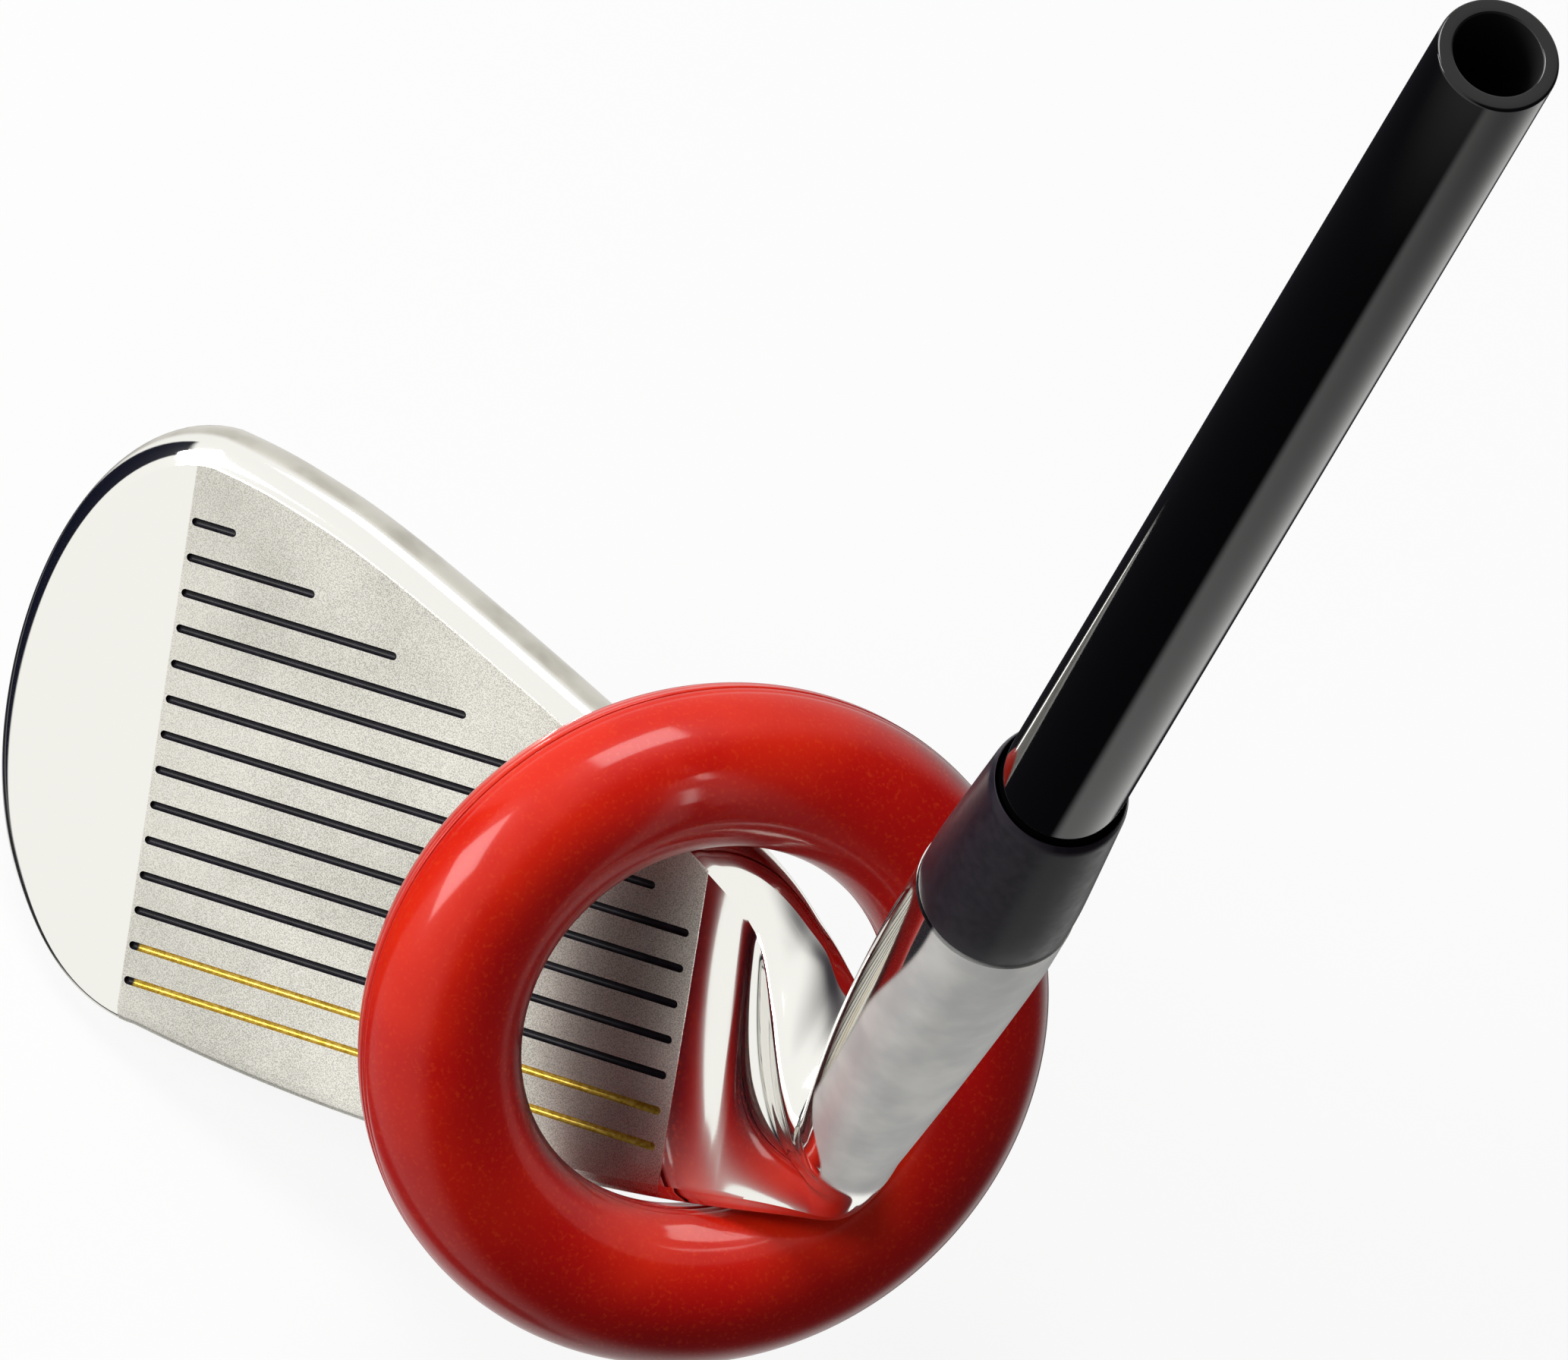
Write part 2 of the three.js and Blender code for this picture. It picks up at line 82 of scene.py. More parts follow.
TOPLINE = np.array([
    (-2, 56.0), (1, 56.2), (9, 54.7), (20, 51.1), (40.5, 42), (58.4, 33.1), (65.5, 27.5), (69.2, 23.6),
    (71, 22.0), (73, 21.2)])
TOPLINE_POINTS = 241
# Rim profiles from the face's edge round to the back: inset from the outline, depth behind the face
TOP_RIM = np.array([
    (3.0, 0), (2.0, 0.35), (0.95, 1.0), (0.3, 1.8), (0, 2.9), (0.15, 4.4), (0.9, 5.6), (2.4, 6.2)])
LOW_RIM = np.array([
    (1.3, 0), (0.35, 0.4), (0, 1.2), (0.9, 4.0), (4.1, 9.0), (8.4, 13.2), (11.2, 14.6), (13.2, 13.6)])
SOLE_STARTS_AT_INSET = 2
BACK_DEPTH = 7.5
BACK_LEVEL_FROM = 0.8
# How the blade changes towards the heel, from these x on to the pivot of the neck
BLADE_MIDDLE_HEEL_V = 14
BEVEL_WIDENS_FROM = 36
BEVEL_WIDENS_BY = 0.75
SOLE_NARROWS_FROM = 34
SOLE_NARROWS_BY = 0.5
BACK_THINS_FROM = 34
BACK_THINS_BY = 0.15
# The neck turns about the crotch of the heel
PIVOT = (71, 18)
VALLEY_START_X = 60
CREASE_START_X = 69
VALLEY_TOP = (1.0, 5.0)
HOLLOW_FRONT = (math.radians(60), math.radians(120))
HEEL_ROUNDING = 5.5
SQUARE_BY = 0.8
SHORTEST_ARC = 0.1
# How finely the skin is drawn
FACE_POINTS = 30
RIM_POINTS = 56
BACK_POINTS = 20
TOE_STEPS = 90
BLADE_STEPS = 61
HEEL_FROM_X = 61
HEEL_STEPS = 25
NECK_STEPS = 70
HOSEL_STEPS = 30
MERGE_MM = 1e-5
HEAD_SHARP_ANGLE = math.radians(14)
SHORTEST_EDGE = 1e-6

shaft_up = np.array((math.cos(LIE), 0, math.sin(LIE)))
heelward = np.array((math.sin(LIE), 0, -math.cos(LIE)))
cut_centre = SEAM + SHAFT_CUT_T * shaft_up
lean = Matrix.Rotation(LIE - math.pi / 2, 4, "Y")
to_row = Matrix.Scale(MM, 4) @ lean @ Matrix.Translation(Vector(-cut_centre))


def smooth(x, low, high):
    """A share that runs from none at low to one at high, eased at both ends."""
    k = np.clip((x - low) / (high - low), 0, 1)
    return k * k * (3 - 2 * k)


def catmull(points, count):
    """Points along a smooth curve through the given ones, ends included."""
    points = np.asarray(points, float)
    padded = np.vstack((2 * points[0] - points[1], points, 2 * points[-1] - points[-2]))
    t = np.linspace(0, len(points) - 1, count)
    i = np.minimum(t.astype(int), len(points) - 2)
    u = (t - i)[:, None]
    a, b, c, d = (padded[i + k] for k in range(4))
    bend = (2 * a - 5 * b + 4 * c - d) * u ** 2
    twist = (3 * b - a - 3 * c + d) * u ** 3
    return 0.5 * (2 * b + (c - a) * u + bend + twist)


topline_curve = catmull(TOPLINE, TOPLINE_POINTS)


def topline_v(x):
    """How far up the face the topline lies at x."""
    return np.interp(x, topline_curve[:, 0], topline_curve[:, 1])


def low_edge_v(x):
    """How far up the face the leading edge lies at x."""
    away = (FACE_LOWEST[0] - x) / (FACE_LOWEST[0] - TOE_CENTRE[0])
    return FACE_LOWEST[1] + LOW_EDGE_RISE * away ** 2


def face_point(x, v, w):
    """A point of the face frame: x along the grooves, v up the face, w back into the head."""
    x, v, w = np.broadcast_arrays(x, v, w)
    y = v * math.sin(LOFT) + w * math.cos(LOFT)
    z = v * math.cos(LOFT) - w * math.sin(LOFT)
    return np.stack((x, y, z), -1)


def half_section(rim, reach, back_depth):
    """Distances from the blade's middle and depths, from the face round the rim to the back."""
    fine = catmull(rim, RIM_POINTS)
    face = np.linspace(0, reach - rim[0][0], FACE_POINTS, endpoint=False)
    k = np.arange(1, BACK_POINTS + 1) / BACK_POINTS
    back = (reach - rim[-1][0]) * (1 - k)
    depth = rim[-1][1] + (back_depth - rim[-1][1]) * smooth(k, 0, BACK_LEVEL_FROM)
    r = np.concatenate((face, reach - fine[:, 0], back))
    w = np.concatenate((np.zeros(FACE_POINTS), fine[:, 1], depth))
    return r, w


def blade_section(x):
    """The blade's section at x: a closed loop up the face, down the back and round under the sole."""
    mid = TOE_CENTRE[1] + (BLADE_MIDDLE_HEEL_V - TOE_CENTRE[1]) * smooth(x, TOE_CENTRE[0], PIVOT[0])
    bevel = 1 + BEVEL_WIDENS_BY * smooth(x, BEVEL_WIDENS_FROM, PIVOT[0])
    sole_depth = 1 - SOLE_NARROWS_BY * smooth(x, SOLE_NARROWS_FROM, PIVOT[0])
    low = LOW_RIM.copy()
    low[low[:, 0] > SOLE_STARTS_AT_INSET, 0] *= sole_depth
    low[:, 1] *= sole_depth
    top = TOP_RIM * (bevel, 1)
    back = BACK_DEPTH * (1 - BACK_THINS_BY * smooth(x, BACK_THINS_FROM, PIVOT[0]))
    r, w = half_section(top, topline_v(x) - mid, back)
    upper = face_point(x, mid + r, w)
    r, w = half_section(low, mid - low_edge_v(x), back)
    lower = face_point(x, mid - r, w)
    return np.vstack((upper, lower[::-1][1:-1]))


def toe_radius(angle):
    """How far the toe's outline lies from its centre: an ellipse above, a fuller one below."""
    upper = math.sin(angle) > 0
    power = 2 if upper else TOE_LOW_POWER
    end = topline_v(TOE_CENTRE[0]) if upper else low_edge_v(TOE_CENTRE[0])
    reach_v = abs(end - TOE_CENTRE[1])
    across = abs(math.cos(angle) / TOE_REACH) ** power
    upward = abs(math.sin(angle) / reach_v) ** power
    return (across + upward) ** (-1 / power)


def toe_section(turn):
    """Half a section through the toe, turned about its centre from the topline down to the sole."""
    angle = math.pi / 2 + turn
    share = smooth(turn, TOE_RIM_TURN, math.pi)
    r, w = half_section(TOP_RIM + (LOW_RIM - TOP_RIM) * share, toe_radius(angle), BACK_DEPTH)
    return face_point(TOE_CENTRE[0] + r * math.cos(angle), TOE_CENTRE[1] + r * math.sin(angle), w)


def hosel_radii(t):
    """The hosel's half widths on the toe side and on the heel side."""
    share = max(0, -t - HOSEL_TAPER_START) / (-HOSEL_LOW_T - HOSEL_TAPER_START)
    toe_side = HOSEL_RADIUS - HOSEL_TAPER * share ** TOE_SIDE_POWER
    heel_side = HOSEL_RADIUS - HOSEL_TAPER * share ** HEEL_SIDE_POWER
    return toe_side, heel_side


# Where a section's points come to lie round the hosel: the face's edge and the rim's end, from the front
EDGE_ANGLE = math.radians(51.4)
RIM_END_ANGLE = math.radians(141.4)
half_angles = np.concatenate((
    np.linspace(0, EDGE_ANGLE, FACE_POINTS, endpoint=False),
    np.linspace(EDGE_ANGLE, RIM_END_ANGLE, RIM_POINTS),
    np.linspace(RIM_END_ANGLE, math.pi, BACK_POINTS + 1)[1:],
))
angles = np.concatenate((half_angles, 2 * math.pi - half_angles[::-1][1:-1]))


def hosel_offsets(t):
    """Back and heelward offsets of a hosel ring from the shaft's axis."""
    toe_side, heel_side = hosel_radii(t)
    middle = (heel_side - toe_side) / 2
    radius = (heel_side + toe_side) / 2
    return -radius * np.cos(angles), middle - radius * np.sin(angles)


pivot_to_seam = np.array((PIVOT[0], 0, PIVOT[1])) - SEAM * (1, 0, 1)
FAN_END_T = pivot_to_seam @ shaft_up
AXIS_E = -pivot_to_seam @ heelward


def neck_sections(blades, steps):
    """Sections that turn about the crotch of the heel, from the blade's end to the hosel.

    The front leaves the face's plane already before the last blade sections, in a hollow that
    ends on the hosel's side. The back follows only in the turn.
    """
    ring_y, ring_e = hosel_offsets(FAN_END_T)
    blade = blades[-1]
    blade_y = blade[:, 1]
    blade_e = PIVOT[1] - blade[:, 2]
    low = blade_e.min()
    high = blade_e.max()
    ring_low = AXIS_E + ring_e.min()
    ring_high = AXIS_E + ring_e.max()
    blade_share = (blade_e - low) / (high - low)
    ring_share = (AXIS_E + ring_e - ring_low) / (ring_high - ring_low)
    start_x = VALLEY_START_X + (CREASE_START_X - VALLEY_START_X) * (1 - smooth(blade_e, *VALLEY_TOP))
    heel_reach = ring_high / math.cos(LIE)
    sole_reach = (high ** -HEEL_ROUNDING - heel_reach ** -HEEL_ROUNDING) ** (-1 / HEEL_ROUNDING)
    frontness = 1 - smooth(np.minimum(angles, 2 * math.pi - angles), *HOLLOW_FRONT)
    fan = []
    for i in range(1, steps + 1):
        k = i / steps
        fade = smooth(k, 0, 1)
        square = smooth(k, 0, SQUARE_BY)
        turn = k * LIE
        sole_line = sole_reach / math.cos(turn)
        heel_line = ring_high / math.cos(LIE - turn)
        bottom = (sole_line ** -HEEL_ROUNDING + heel_line ** -HEEL_ROUNDING) ** (-1 / HEEL_ROUNDING)
        top = low + (ring_low - low) * fade
        e = top + (bottom - top) * (blade_share + (ring_share - blade_share) * square)
        fan.append((k, fade, e))
    turns = np.array([0] + [k * LIE for k, fade, e in fan])
    es = np.array([blade_e] + [e for k, fade, e in fan])
    arcs = np.cumsum((es[1:] + es[:-1]) / 2 * np.diff(turns)[:, None], axis=0)
    run = PIVOT[0] - start_x
    whole = run + np.maximum(arcs[-1], SHORTEST_ARC)
    changed = []
    for loop in blades:
        x = loop[0, 0]
        fade = smooth((x - start_x) / whole, 0, 1) * frontness
        out = loop.copy()
        out[:, 1] += (SEAM[1] + ring_y - loop[:, 1]) * fade
        changed.append(out)
    for (k, fade, e), arc in zip(fan, arcs):
        front = smooth((run + arc) / whole, 0, 1)
        mixed = fade + (front - fade) * frontness
        y = blade_y + (SEAM[1] + ring_y - blade_y) * mixed
        turn = k * LIE
        changed.append(np.stack((PIVOT[0] + e * math.sin(turn), y, PIVOT[1] - e * math.cos(turn)), -1))
    return changed


def hosel_section(t):
    """The hosel's section at a height above the seam, negative below it."""
    y, e = hosel_offsets(t)
    return SEAM + t * shaft_up + e[:, None] * heelward + y[:, None] * np.array((0, 1, 0))


def lofted_head():
    """Vertices and faces of the closed head, before anything is cut into it."""
    xs = np.concatenate((
        np.linspace(TOE_CENTRE[0], HEEL_FROM_X, BLADE_STEPS + 1),
        np.linspace(HEEL_FROM_X, PIVOT[0], HEEL_STEPS + 1)[1:]))
    loops = neck_sections([blade_section(x) for x in xs], NECK_STEPS)
    count = len(loops[0])
    loops += [hosel_section(FAN_END_T * s) for s in np.linspace(1, 0, HOSEL_STEPS + 1)[1:]]
    vertices = list(np.vstack(loops))
    faces = []
    for s in range(len(loops) - 1):
        for i in range(count):
            j = (i + 1) % count
            faces.append((s * count + i, (s + 1) * count + i, (s + 1) * count + j, s * count + j))
    half = count // 2
    previous = list(range(half + 1))
    for step in range(1, TOE_STEPS + 1):
        arc = toe_section(step / TOE_STEPS * math.pi)
        if step < TOE_STEPS:
            current = [0] + list(range(len(vertices), len(vertices) + half - 1)) + [half]
            vertices += list(arc[1:half])
        else:
            current = [0] + [count - i for i in range(1, half)] + [half]
        faces.append((0, previous[1], current[1]))
        faces += [(previous[i], previous[i + 1], current[i + 1], current[i]) for i in range(1, half - 1)]
        faces.append((previous[half - 1], half, current[half - 1]))
        previous = current
    last = (len(loops) - 1) * count
    vertices.append(SEAM)
    faces += [(last + i, len(vertices) - 1, last + (i + 1) % count) for i in range(count)]
    return vertices, faces


def new_object(name, vertices, faces, merge):
    """A mesh object at the origin, with points nearer than merge joined and its faces turned outward."""
    mesh = bpy.data.meshes.new(name)
    mesh.from_pydata([tuple(map(float, v)) for v in vertices], [], faces)
    shape = bmesh.new()
    shape.from_mesh(mesh)
    bmesh.ops.remove_doubles(shape, verts=shape.verts, dist=merge)
    bmesh.ops.dissolve_degenerate(shape, edges=shape.edges, dist=SHORTEST_EDGE)
    bmesh.ops.recalc_face_normals(shape, faces=shape.faces)
    shape.to_mesh(mesh)
    shape.free()
    made = bpy.data.objects.new(name, mesh)
    bpy.context.scene.collection.objects.link(made)
    return made


# The head before anything is cut into it
head = new_object("head_shell", *lofted_head(), MERGE_MM)

# The grooves follow lines ruled on the face, one line for each, and their ends are round
GROOVE_PITCH = 3.35
GROOVE_COUNT = 14
GROOVE_LOWEST_V = 4.35
GROOVE_RADIUS = 0.39
GROOVE_CENTRE_DEPTH = 0.04
GROOVE_LENGTH = 54.2
SHORT_GROOVES = [3.8, 12.5, 21.5, 29.2, 36.3, 43.3, 50.2]
GROOVE_SIDES = 20
GROOVE_END_STEPS = 8
GROOVE_END_TURN = 0.08

groove_points = []
groove_edges = []
groove_widths = []
for i in range(GROOVE_COUNT):
    v = GROOVE_LOWEST_V + GROOVE_PITCH * (GROOVE_COUNT - 1 - i)
    length = SHORT_GROOVES[i] if i < len(SHORT_GROOVES) else GROOVE_LENGTH
    turn = np.linspace(GROOVE_END_TURN, math.pi / 2, GROOVE_END_STEPS)
    xs = np.concatenate((-GROOVE_RADIUS * np.cos(turn), length + GROOVE_RADIUS * np.cos(turn[::-1])))
    first = len(groove_points)
    groove_points += [tuple(p) for p in face_point(xs, v, GROOVE_CENTRE_DEPTH)]
    groove_edges += [(k, k + 1) for k in range(first, first + len(xs) - 1)]
    groove_widths += list(np.concatenate((np.sin(turn), np.sin(turn[::-1]))))
groove_mesh = bpy.data.meshes.new("groove_lines")
groove_mesh.from_pydata(groove_points, groove_edges, [])
groove_mesh.attributes.new("width", "FLOAT", "POINT").data.foreach_set("value", groove_widths)
groove_lines = bpy.data.objects.new("groove_lines", groove_mesh)
bpy.context.scene.collection.objects.link(groove_lines)


def add_node(tree, kind, inputs=None, **settings):
    """A new node with its settings, and its inputs by name or place, each a value or a socket to link."""
    made = tree.nodes.new(kind)
    for name, value in settings.items():
        setattr(made, name, value)
    for name, value in (inputs or {}).items():
        if isinstance(value, bpy.types.NodeSocket):
            tree.links.new(value, made.inputs[name])
        else:
            made.inputs[name].default_value = value
    return made


def new_material(name):
    """A material with its shader and its node tree."""
    made = bpy.data.materials.new(name)
    made.use_nodes = True
    return made, made.node_tree.nodes["Principled BSDF"], made.node_tree


groove_paint, shader, tree = new_material("groove_paint")
groove_tree = bpy.data.node_groups.new("grooves", "GeometryNodeTree")
sockets = groove_tree.interface
sockets.new_socket("Lines", in_out="INPUT", socket_type="NodeSocketGeometry")
radius_socket = sockets.new_socket("Groove Radius", in_out="INPUT", socket_type="NodeSocketFloat")
sides_socket = sockets.new_socket("Sides", in_out="INPUT", socket_type="NodeSocketInt")
sockets.new_socket("Cutters", in_out="OUTPUT", socket_type="NodeSocketGeometry")
given = add_node(groove_tree, "NodeGroupInput")
width = add_node(groove_tree, "GeometryNodeInputNamedAttribute", {"Name": "width"}, data_type="FLOAT")
width = add_node(groove_tree, "ShaderNodeMath", {
    0: width.outputs["Attribute"], 1: given.outputs["Groove Radius"]}, operation="MULTIPLY")
curves = add_node(groove_tree, "GeometryNodeMeshToCurve", {"Mesh": given.outputs["Lines"]})
section = add_node(groove_tree, "GeometryNodeCurvePrimitiveCircle", {
    "Resolution": given.outputs["Sides"], "Radius": 1.0})
tubes = add_node(groove_tree, "GeometryNodeCurveToMesh", {
    "Curve": curves.outputs["Curve"], "Profile Curve": section.outputs["Curve"],
    "Scale": width.outputs["Value"], "Fill Caps": True})
whole = add_node(groove_tree, "GeometryNodeRealizeInstances", {"Geometry": tubes.outputs["Mesh"]})
painted = add_node(groove_tree, "GeometryNodeSetMaterial", {
    "Geometry": whole.outputs["Geometry"], "Material": groove_paint})
ends = add_node(groove_tree, "NodeGroupOutput")
groove_tree.links.new(painted.outputs["Geometry"], ends.inputs["Cutters"])


def made_by_nodes(obj, group, values):
    """The object's mesh as a node group makes it, with the group's inputs set by their identifiers."""
    modifier = obj.modifiers.new(group.name, "NODES")
    modifier.node_group = group
    for socket, value in values:
        modifier[socket.identifier] = value
    evaluated = obj.evaluated_get(bpy.context.evaluated_depsgraph_get())
    mesh = bpy.data.meshes.new_from_object(evaluated)
    obj.modifiers.clear()
    obj.data = mesh


made_by_nodes(groove_lines, groove_tree, ((radius_socket, GROOVE_RADIUS), (sides_socket, GROOVE_SIDES)))

# The pocket in the back, with a soft edge round its floor
POCKET_LOW = 19
POCKET_HIGH = 43
POCKET_TOE = -6
POCKET_HEEL = 45
POCKET_CORNER = 6
POCKET_CORNER_POINTS = 13
POCKET_DEPTH = 2.2
POCKET_FILLET = 1.2
POCKET_FILLET_STEPS = 7
BEHIND_THE_HEAD = 22


def pocket_ring(inset, depth):
    """The pocket's outline on the back, drawn in by an inset, at a depth behind the face."""
    corner = POCKET_CORNER - inset
    ring = []
    for quarter, (x, v) in enumerate((
        (POCKET_HEEL - POCKET_CORNER, POCKET_HIGH - POCKET_CORNER),
        (POCKET_TOE + POCKET_CORNER, POCKET_HIGH - POCKET_CORNER),
        (POCKET_TOE + POCKET_CORNER, POCKET_LOW + POCKET_CORNER),
        (POCKET_HEEL - POCKET_CORNER, POCKET_LOW + POCKET_CORNER),
    )):
        turn = (quarter + np.linspace(0, 1, POCKET_CORNER_POINTS)) * math.pi / 2
        ring += list(face_point(x + corner * np.cos(turn), v + corner * np.sin(turn), depth))
    return ring


def bridged(rings):
    """Vertices and faces of a closed body through rings of equal count, with its two ends filled."""
    count = len(rings[0])
    last = (len(rings) - 1) * count
    faces = [tuple(range(count)), tuple(range(last, last + count))]
    for s in range(len(rings) - 1):
        for i in range(count):
            j = (i + 1) % count
            faces.append((s * count + i, s * count + j, (s + 1) * count + j, (s + 1) * count + i))
    return [p for ring in rings for p in ring], faces


pocket_floor = BACK_DEPTH - POCKET_DEPTH
pocket_rings = [pocket_ring(0, BEHIND_THE_HEAD)]
for angle in np.linspace(0, math.pi / 2, POCKET_FILLET_STEPS):
    inset = POCKET_FILLET * (1 - math.cos(angle))
    sink = POCKET_FILLET * math.sin(angle)
    pocket_rings.append(pocket_ring(inset, pocket_floor + POCKET_FILLET - sink))
pocket = new_object("pocket_cutter", *bridged(pocket_rings), MERGE_MM)

# The hosel's bore, from above the seam down to where the shaft's tip stops
BORE_AROUND = 96
ABOVE_THE_SEAM = 1
bore_turn = np.linspace(0, 2 * math.pi, BORE_AROUND, endpoint=False)
bore_circle = np.outer(np.cos(bore_turn), heelward) + np.outer(np.sin(bore_turn), (0, 1, 0))
bore_ends = (ABOVE_THE_SEAM, -HOSEL_BORE_DEPTH)
bore_rings = [SEAM + t * shaft_up + HOSEL_BORE_RADIUS * bore_circle for t in bore_ends]
bore = new_object("bore_cutter", *bridged(bore_rings), MERGE_MM)

# The head with its grooves, pocket and bore cut. The cutters lend it their materials inside the cuts.
nickel, shader, tree = new_material("nickel_plated_steel")
head.data.materials.append(nickel)
pocket.data.materials.append(nickel)
bore.data.materials.append(nickel)
for cutter in (groove_lines, pocket, bore):
    cut = head.modifiers.new(cutter.name, "BOOLEAN")
    cut.operation = "DIFFERENCE"
    cut.solver = "EXACT"
    cut.material_mode = "TRANSFER"
    cut.object = cutter
cut_mesh = bpy.data.meshes.new_from_object(head.evaluated_get(bpy.context.evaluated_depsgraph_get()))
head.modifiers.clear()
head.data = cut_mesh
for cutter in (groove_lines, pocket, bore):
    bpy.data.objects.remove(cutter)
head.data.transform(to_row)
head.data.shade_smooth()
head.data.set_sharp_from_angle(angle=HEAD_SHARP_ANGLE)


def combined(tree, operation, a, b):
    """The result of a sum, product or other operation on two values."""
    return add_node(tree, "ShaderNodeMath", {0: a, 1: b}, operation=operation).outputs[0]


def along(tree, direction, offset):
    """How far a point of the surface lies along a direction, in millimetres, plus an offset."""
    place = add_node(tree, "ShaderNodeTexCoord")
    scaled = add_node(tree, "ShaderNodeVectorMath", {
        0: place.outputs["Object"], 1: Vector(direction) / MM}, operation="DOT_PRODUCT")
    return combined(tree, "ADD", scaled.outputs["Value"], offset)


def head_coordinate(tree, direction):
    """A coordinate of the sole frame on the head's surface, in millimetres."""
    turned = lean.to_3x3() @ Vector(direction)
    return along(tree, turned, float(Vector(direction) @ Vector(cut_centre)))


def between(tree, value, low, high, start=0.0, end=1.0):
    """The value carried from low..high to start..end, eased at both ends."""
    mapped = add_node(tree, "ShaderNodeMapRange", {
        "Value": value, "From Min": low, "From Max": high, "To Min": start, "To Max": end},
        interpolation_type="SMOOTHSTEP")
    return mapped.outputs["Result"]


def mixed_colours(tree, share, a, b):
    """The first colour where the share is none, the second where it is one."""
    return add_node(tree, "ShaderNodeMix", {0: share, 6: a, 7: b}, data_type="RGBA").outputs[2]


def noise(tree, scale, detail=2.0, stretch=(1, 1, 1)):
    """Noise from Object coordinates, its scale in lumps a metre."""
    place = add_node(tree, "ShaderNodeTexCoord")
    sized = add_node(tree, "ShaderNodeVectorMath", {
        0: place.outputs["Object"], 1: stretch}, operation="MULTIPLY")
    return add_node(tree, "ShaderNodeTexNoise", {
        "Vector": sized.outputs[0], "Scale": scale, "Detail": detail}).outputs["Fac"]


def bumped(tree, shader, height, strength, distance):
    """Raises the shader's surface by a height, at a strength, over a distance in metres."""
    bump = add_node(tree, "ShaderNodeBump", {"Height": height, "Strength": strength, "Distance": distance})
    tree.links.new(bump.outputs["Normal"], shader.inputs["Normal"])


# Blasted finish: between the toe line and the heel line, on the face and round the leading edge
BLAST_TOE_X = -0.65
BLAST_HEEL_X = 55.5
BLAST_LINE = 0.08
BLAST_REACH_V = (6, 12)
BLAST_REACH_DEPTHS = (1.6, 0.05)
x = head_coordinate(tree, (1, 0, 0))
up_face = head_coordinate(tree, (0, math.sin(LOFT), math.cos(LOFT)))
depth = head_coordinate(tree, (0, math.cos(LOFT), -math.sin(LOFT)))
past_toe_line = between(tree, x, BLAST_TOE_X - BLAST_LINE, BLAST_TOE_X + BLAST_LINE)
before_heel_line = between(tree, x, BLAST_HEEL_X - BLAST_LINE, BLAST_HEEL_X + BLAST_LINE, 1.0, 0.0)
reach = between(tree, up_face, *BLAST_REACH_V, *BLAST_REACH_DEPTHS)
blasted = combined(tree, "MULTIPLY", past_toe_line, before_heel_line)
blasted = combined(tree, "MULTIPLY", blasted, combined(tree, "LESS_THAN", depth, reach))

# Satin finish: a band along the topline behind its bevel, the back, and the hosel's heel side
TOP_BAND_DEPTHS = (1.35, 1.85)
TOP_BAND_STARTS_V = (16, 22)
TOP_BAND_ENDS_X = (50, 66)
SATIN_SIDE = (0.999, 0.0436, 0)
SATIN_EDGE = (-0.15, 0.5)
SATIN_EDGE_LOW_T = (-50, -40)
SATIN_EDGE_TOP_T = (-20, -2)
SATIN_FOOT_T = (-52.5, -49.5)
SATIN_FOOT_SLANT = 0.3
SATIN_BACK_DEPTHS = (5.5, 8.5)
SATIN_METALLIC = 0.35
top_band = between(tree, depth, *TOP_BAND_DEPTHS)
top_band = combined(tree, "MULTIPLY", top_band, between(tree, up_face, *TOP_BAND_STARTS_V))
top_band = combined(tree, "MULTIPLY", top_band, between(tree, x, *TOP_BAND_ENDS_X, 1.0, 0.0))
height = along(tree, (0, 0, 1), SHAFT_CUT_T)
heel_side = along(tree, SATIN_SIDE, 0)
hosel_edge = between(tree, height, *SATIN_EDGE_LOW_T, -1.0, -5.0)
hosel_edge = combined(tree, "ADD", hosel_edge, between(tree, height, *SATIN_EDGE_TOP_T, 0, 1.5))
hosel_foot = combined(tree, "ADD", height, combined(tree, "MULTIPLY", heel_side, SATIN_FOOT_SLANT))
hosel_satin = between(tree, combined(tree, "SUBTRACT", heel_side, hosel_edge), *SATIN_EDGE)
hosel_satin = combined(tree, "MULTIPLY", hosel_satin, between(tree, hosel_foot, *SATIN_FOOT_T))
back_satin = between(tree, depth, *SATIN_BACK_DEPTHS)
satin = combined(tree, "MAXIMUM", hosel_satin, back_satin)

# Colours: the blasted face is grainy and a little stained, darkest at its toe end
FACE_DARK_STAINED = (0.36, 0.35, 0.31, 1)
FACE_DARK_CLEAN = (0.50, 0.485, 0.44, 1)
FACE_LIGHT_STAINED = (0.68, 0.665, 0.605, 1)
FACE_LIGHT_CLEAN = (0.82, 0.80, 0.735, 1)
POLISH = (0.82, 0.81, 0.775, 1)
SATIN_DULL = (0.70, 0.70, 0.69, 1)
SATIN_BRIGHT = (0.92, 0.91, 0.87, 1)
TOPLINE_BROWN = (0.40, 0.38, 0.33, 1)
TOPLINE_BEIGE = (0.56, 0.54, 0.49, 1)
TOE_SHADE_X = (-8, 16)
TOE_SHADE_SLANT = 0.1
grain = noise(tree, 9000, 3.0)
cloud = noise(tree, 160, 3.0)
brushed = noise(tree, 900, 2.0, (1, 1, 6))
clean = between(tree, noise(tree, 45, 4.0), 0.35, 0.6)
face_dark = mixed_colours(tree, clean, FACE_DARK_STAINED, FACE_DARK_CLEAN)
face_light = mixed_colours(tree, clean, FACE_LIGHT_STAINED, FACE_LIGHT_CLEAN)
from_toe = combined(tree, "SUBTRACT", x, combined(tree, "MULTIPLY", up_face, TOE_SHADE_SLANT))
toe_shade = between(tree, from_toe, *TOE_SHADE_X, 0.7, 1.0)
grain_share = combined(tree, "MULTIPLY", between(tree, grain, 0.36, 0.6), toe_shade)
face_colour = mixed_colours(tree, grain_share, face_dark, face_light)
satin_colour = mixed_colours(tree, between(tree, cloud, 0.3, 0.72), SATIN_DULL, SATIN_BRIGHT)
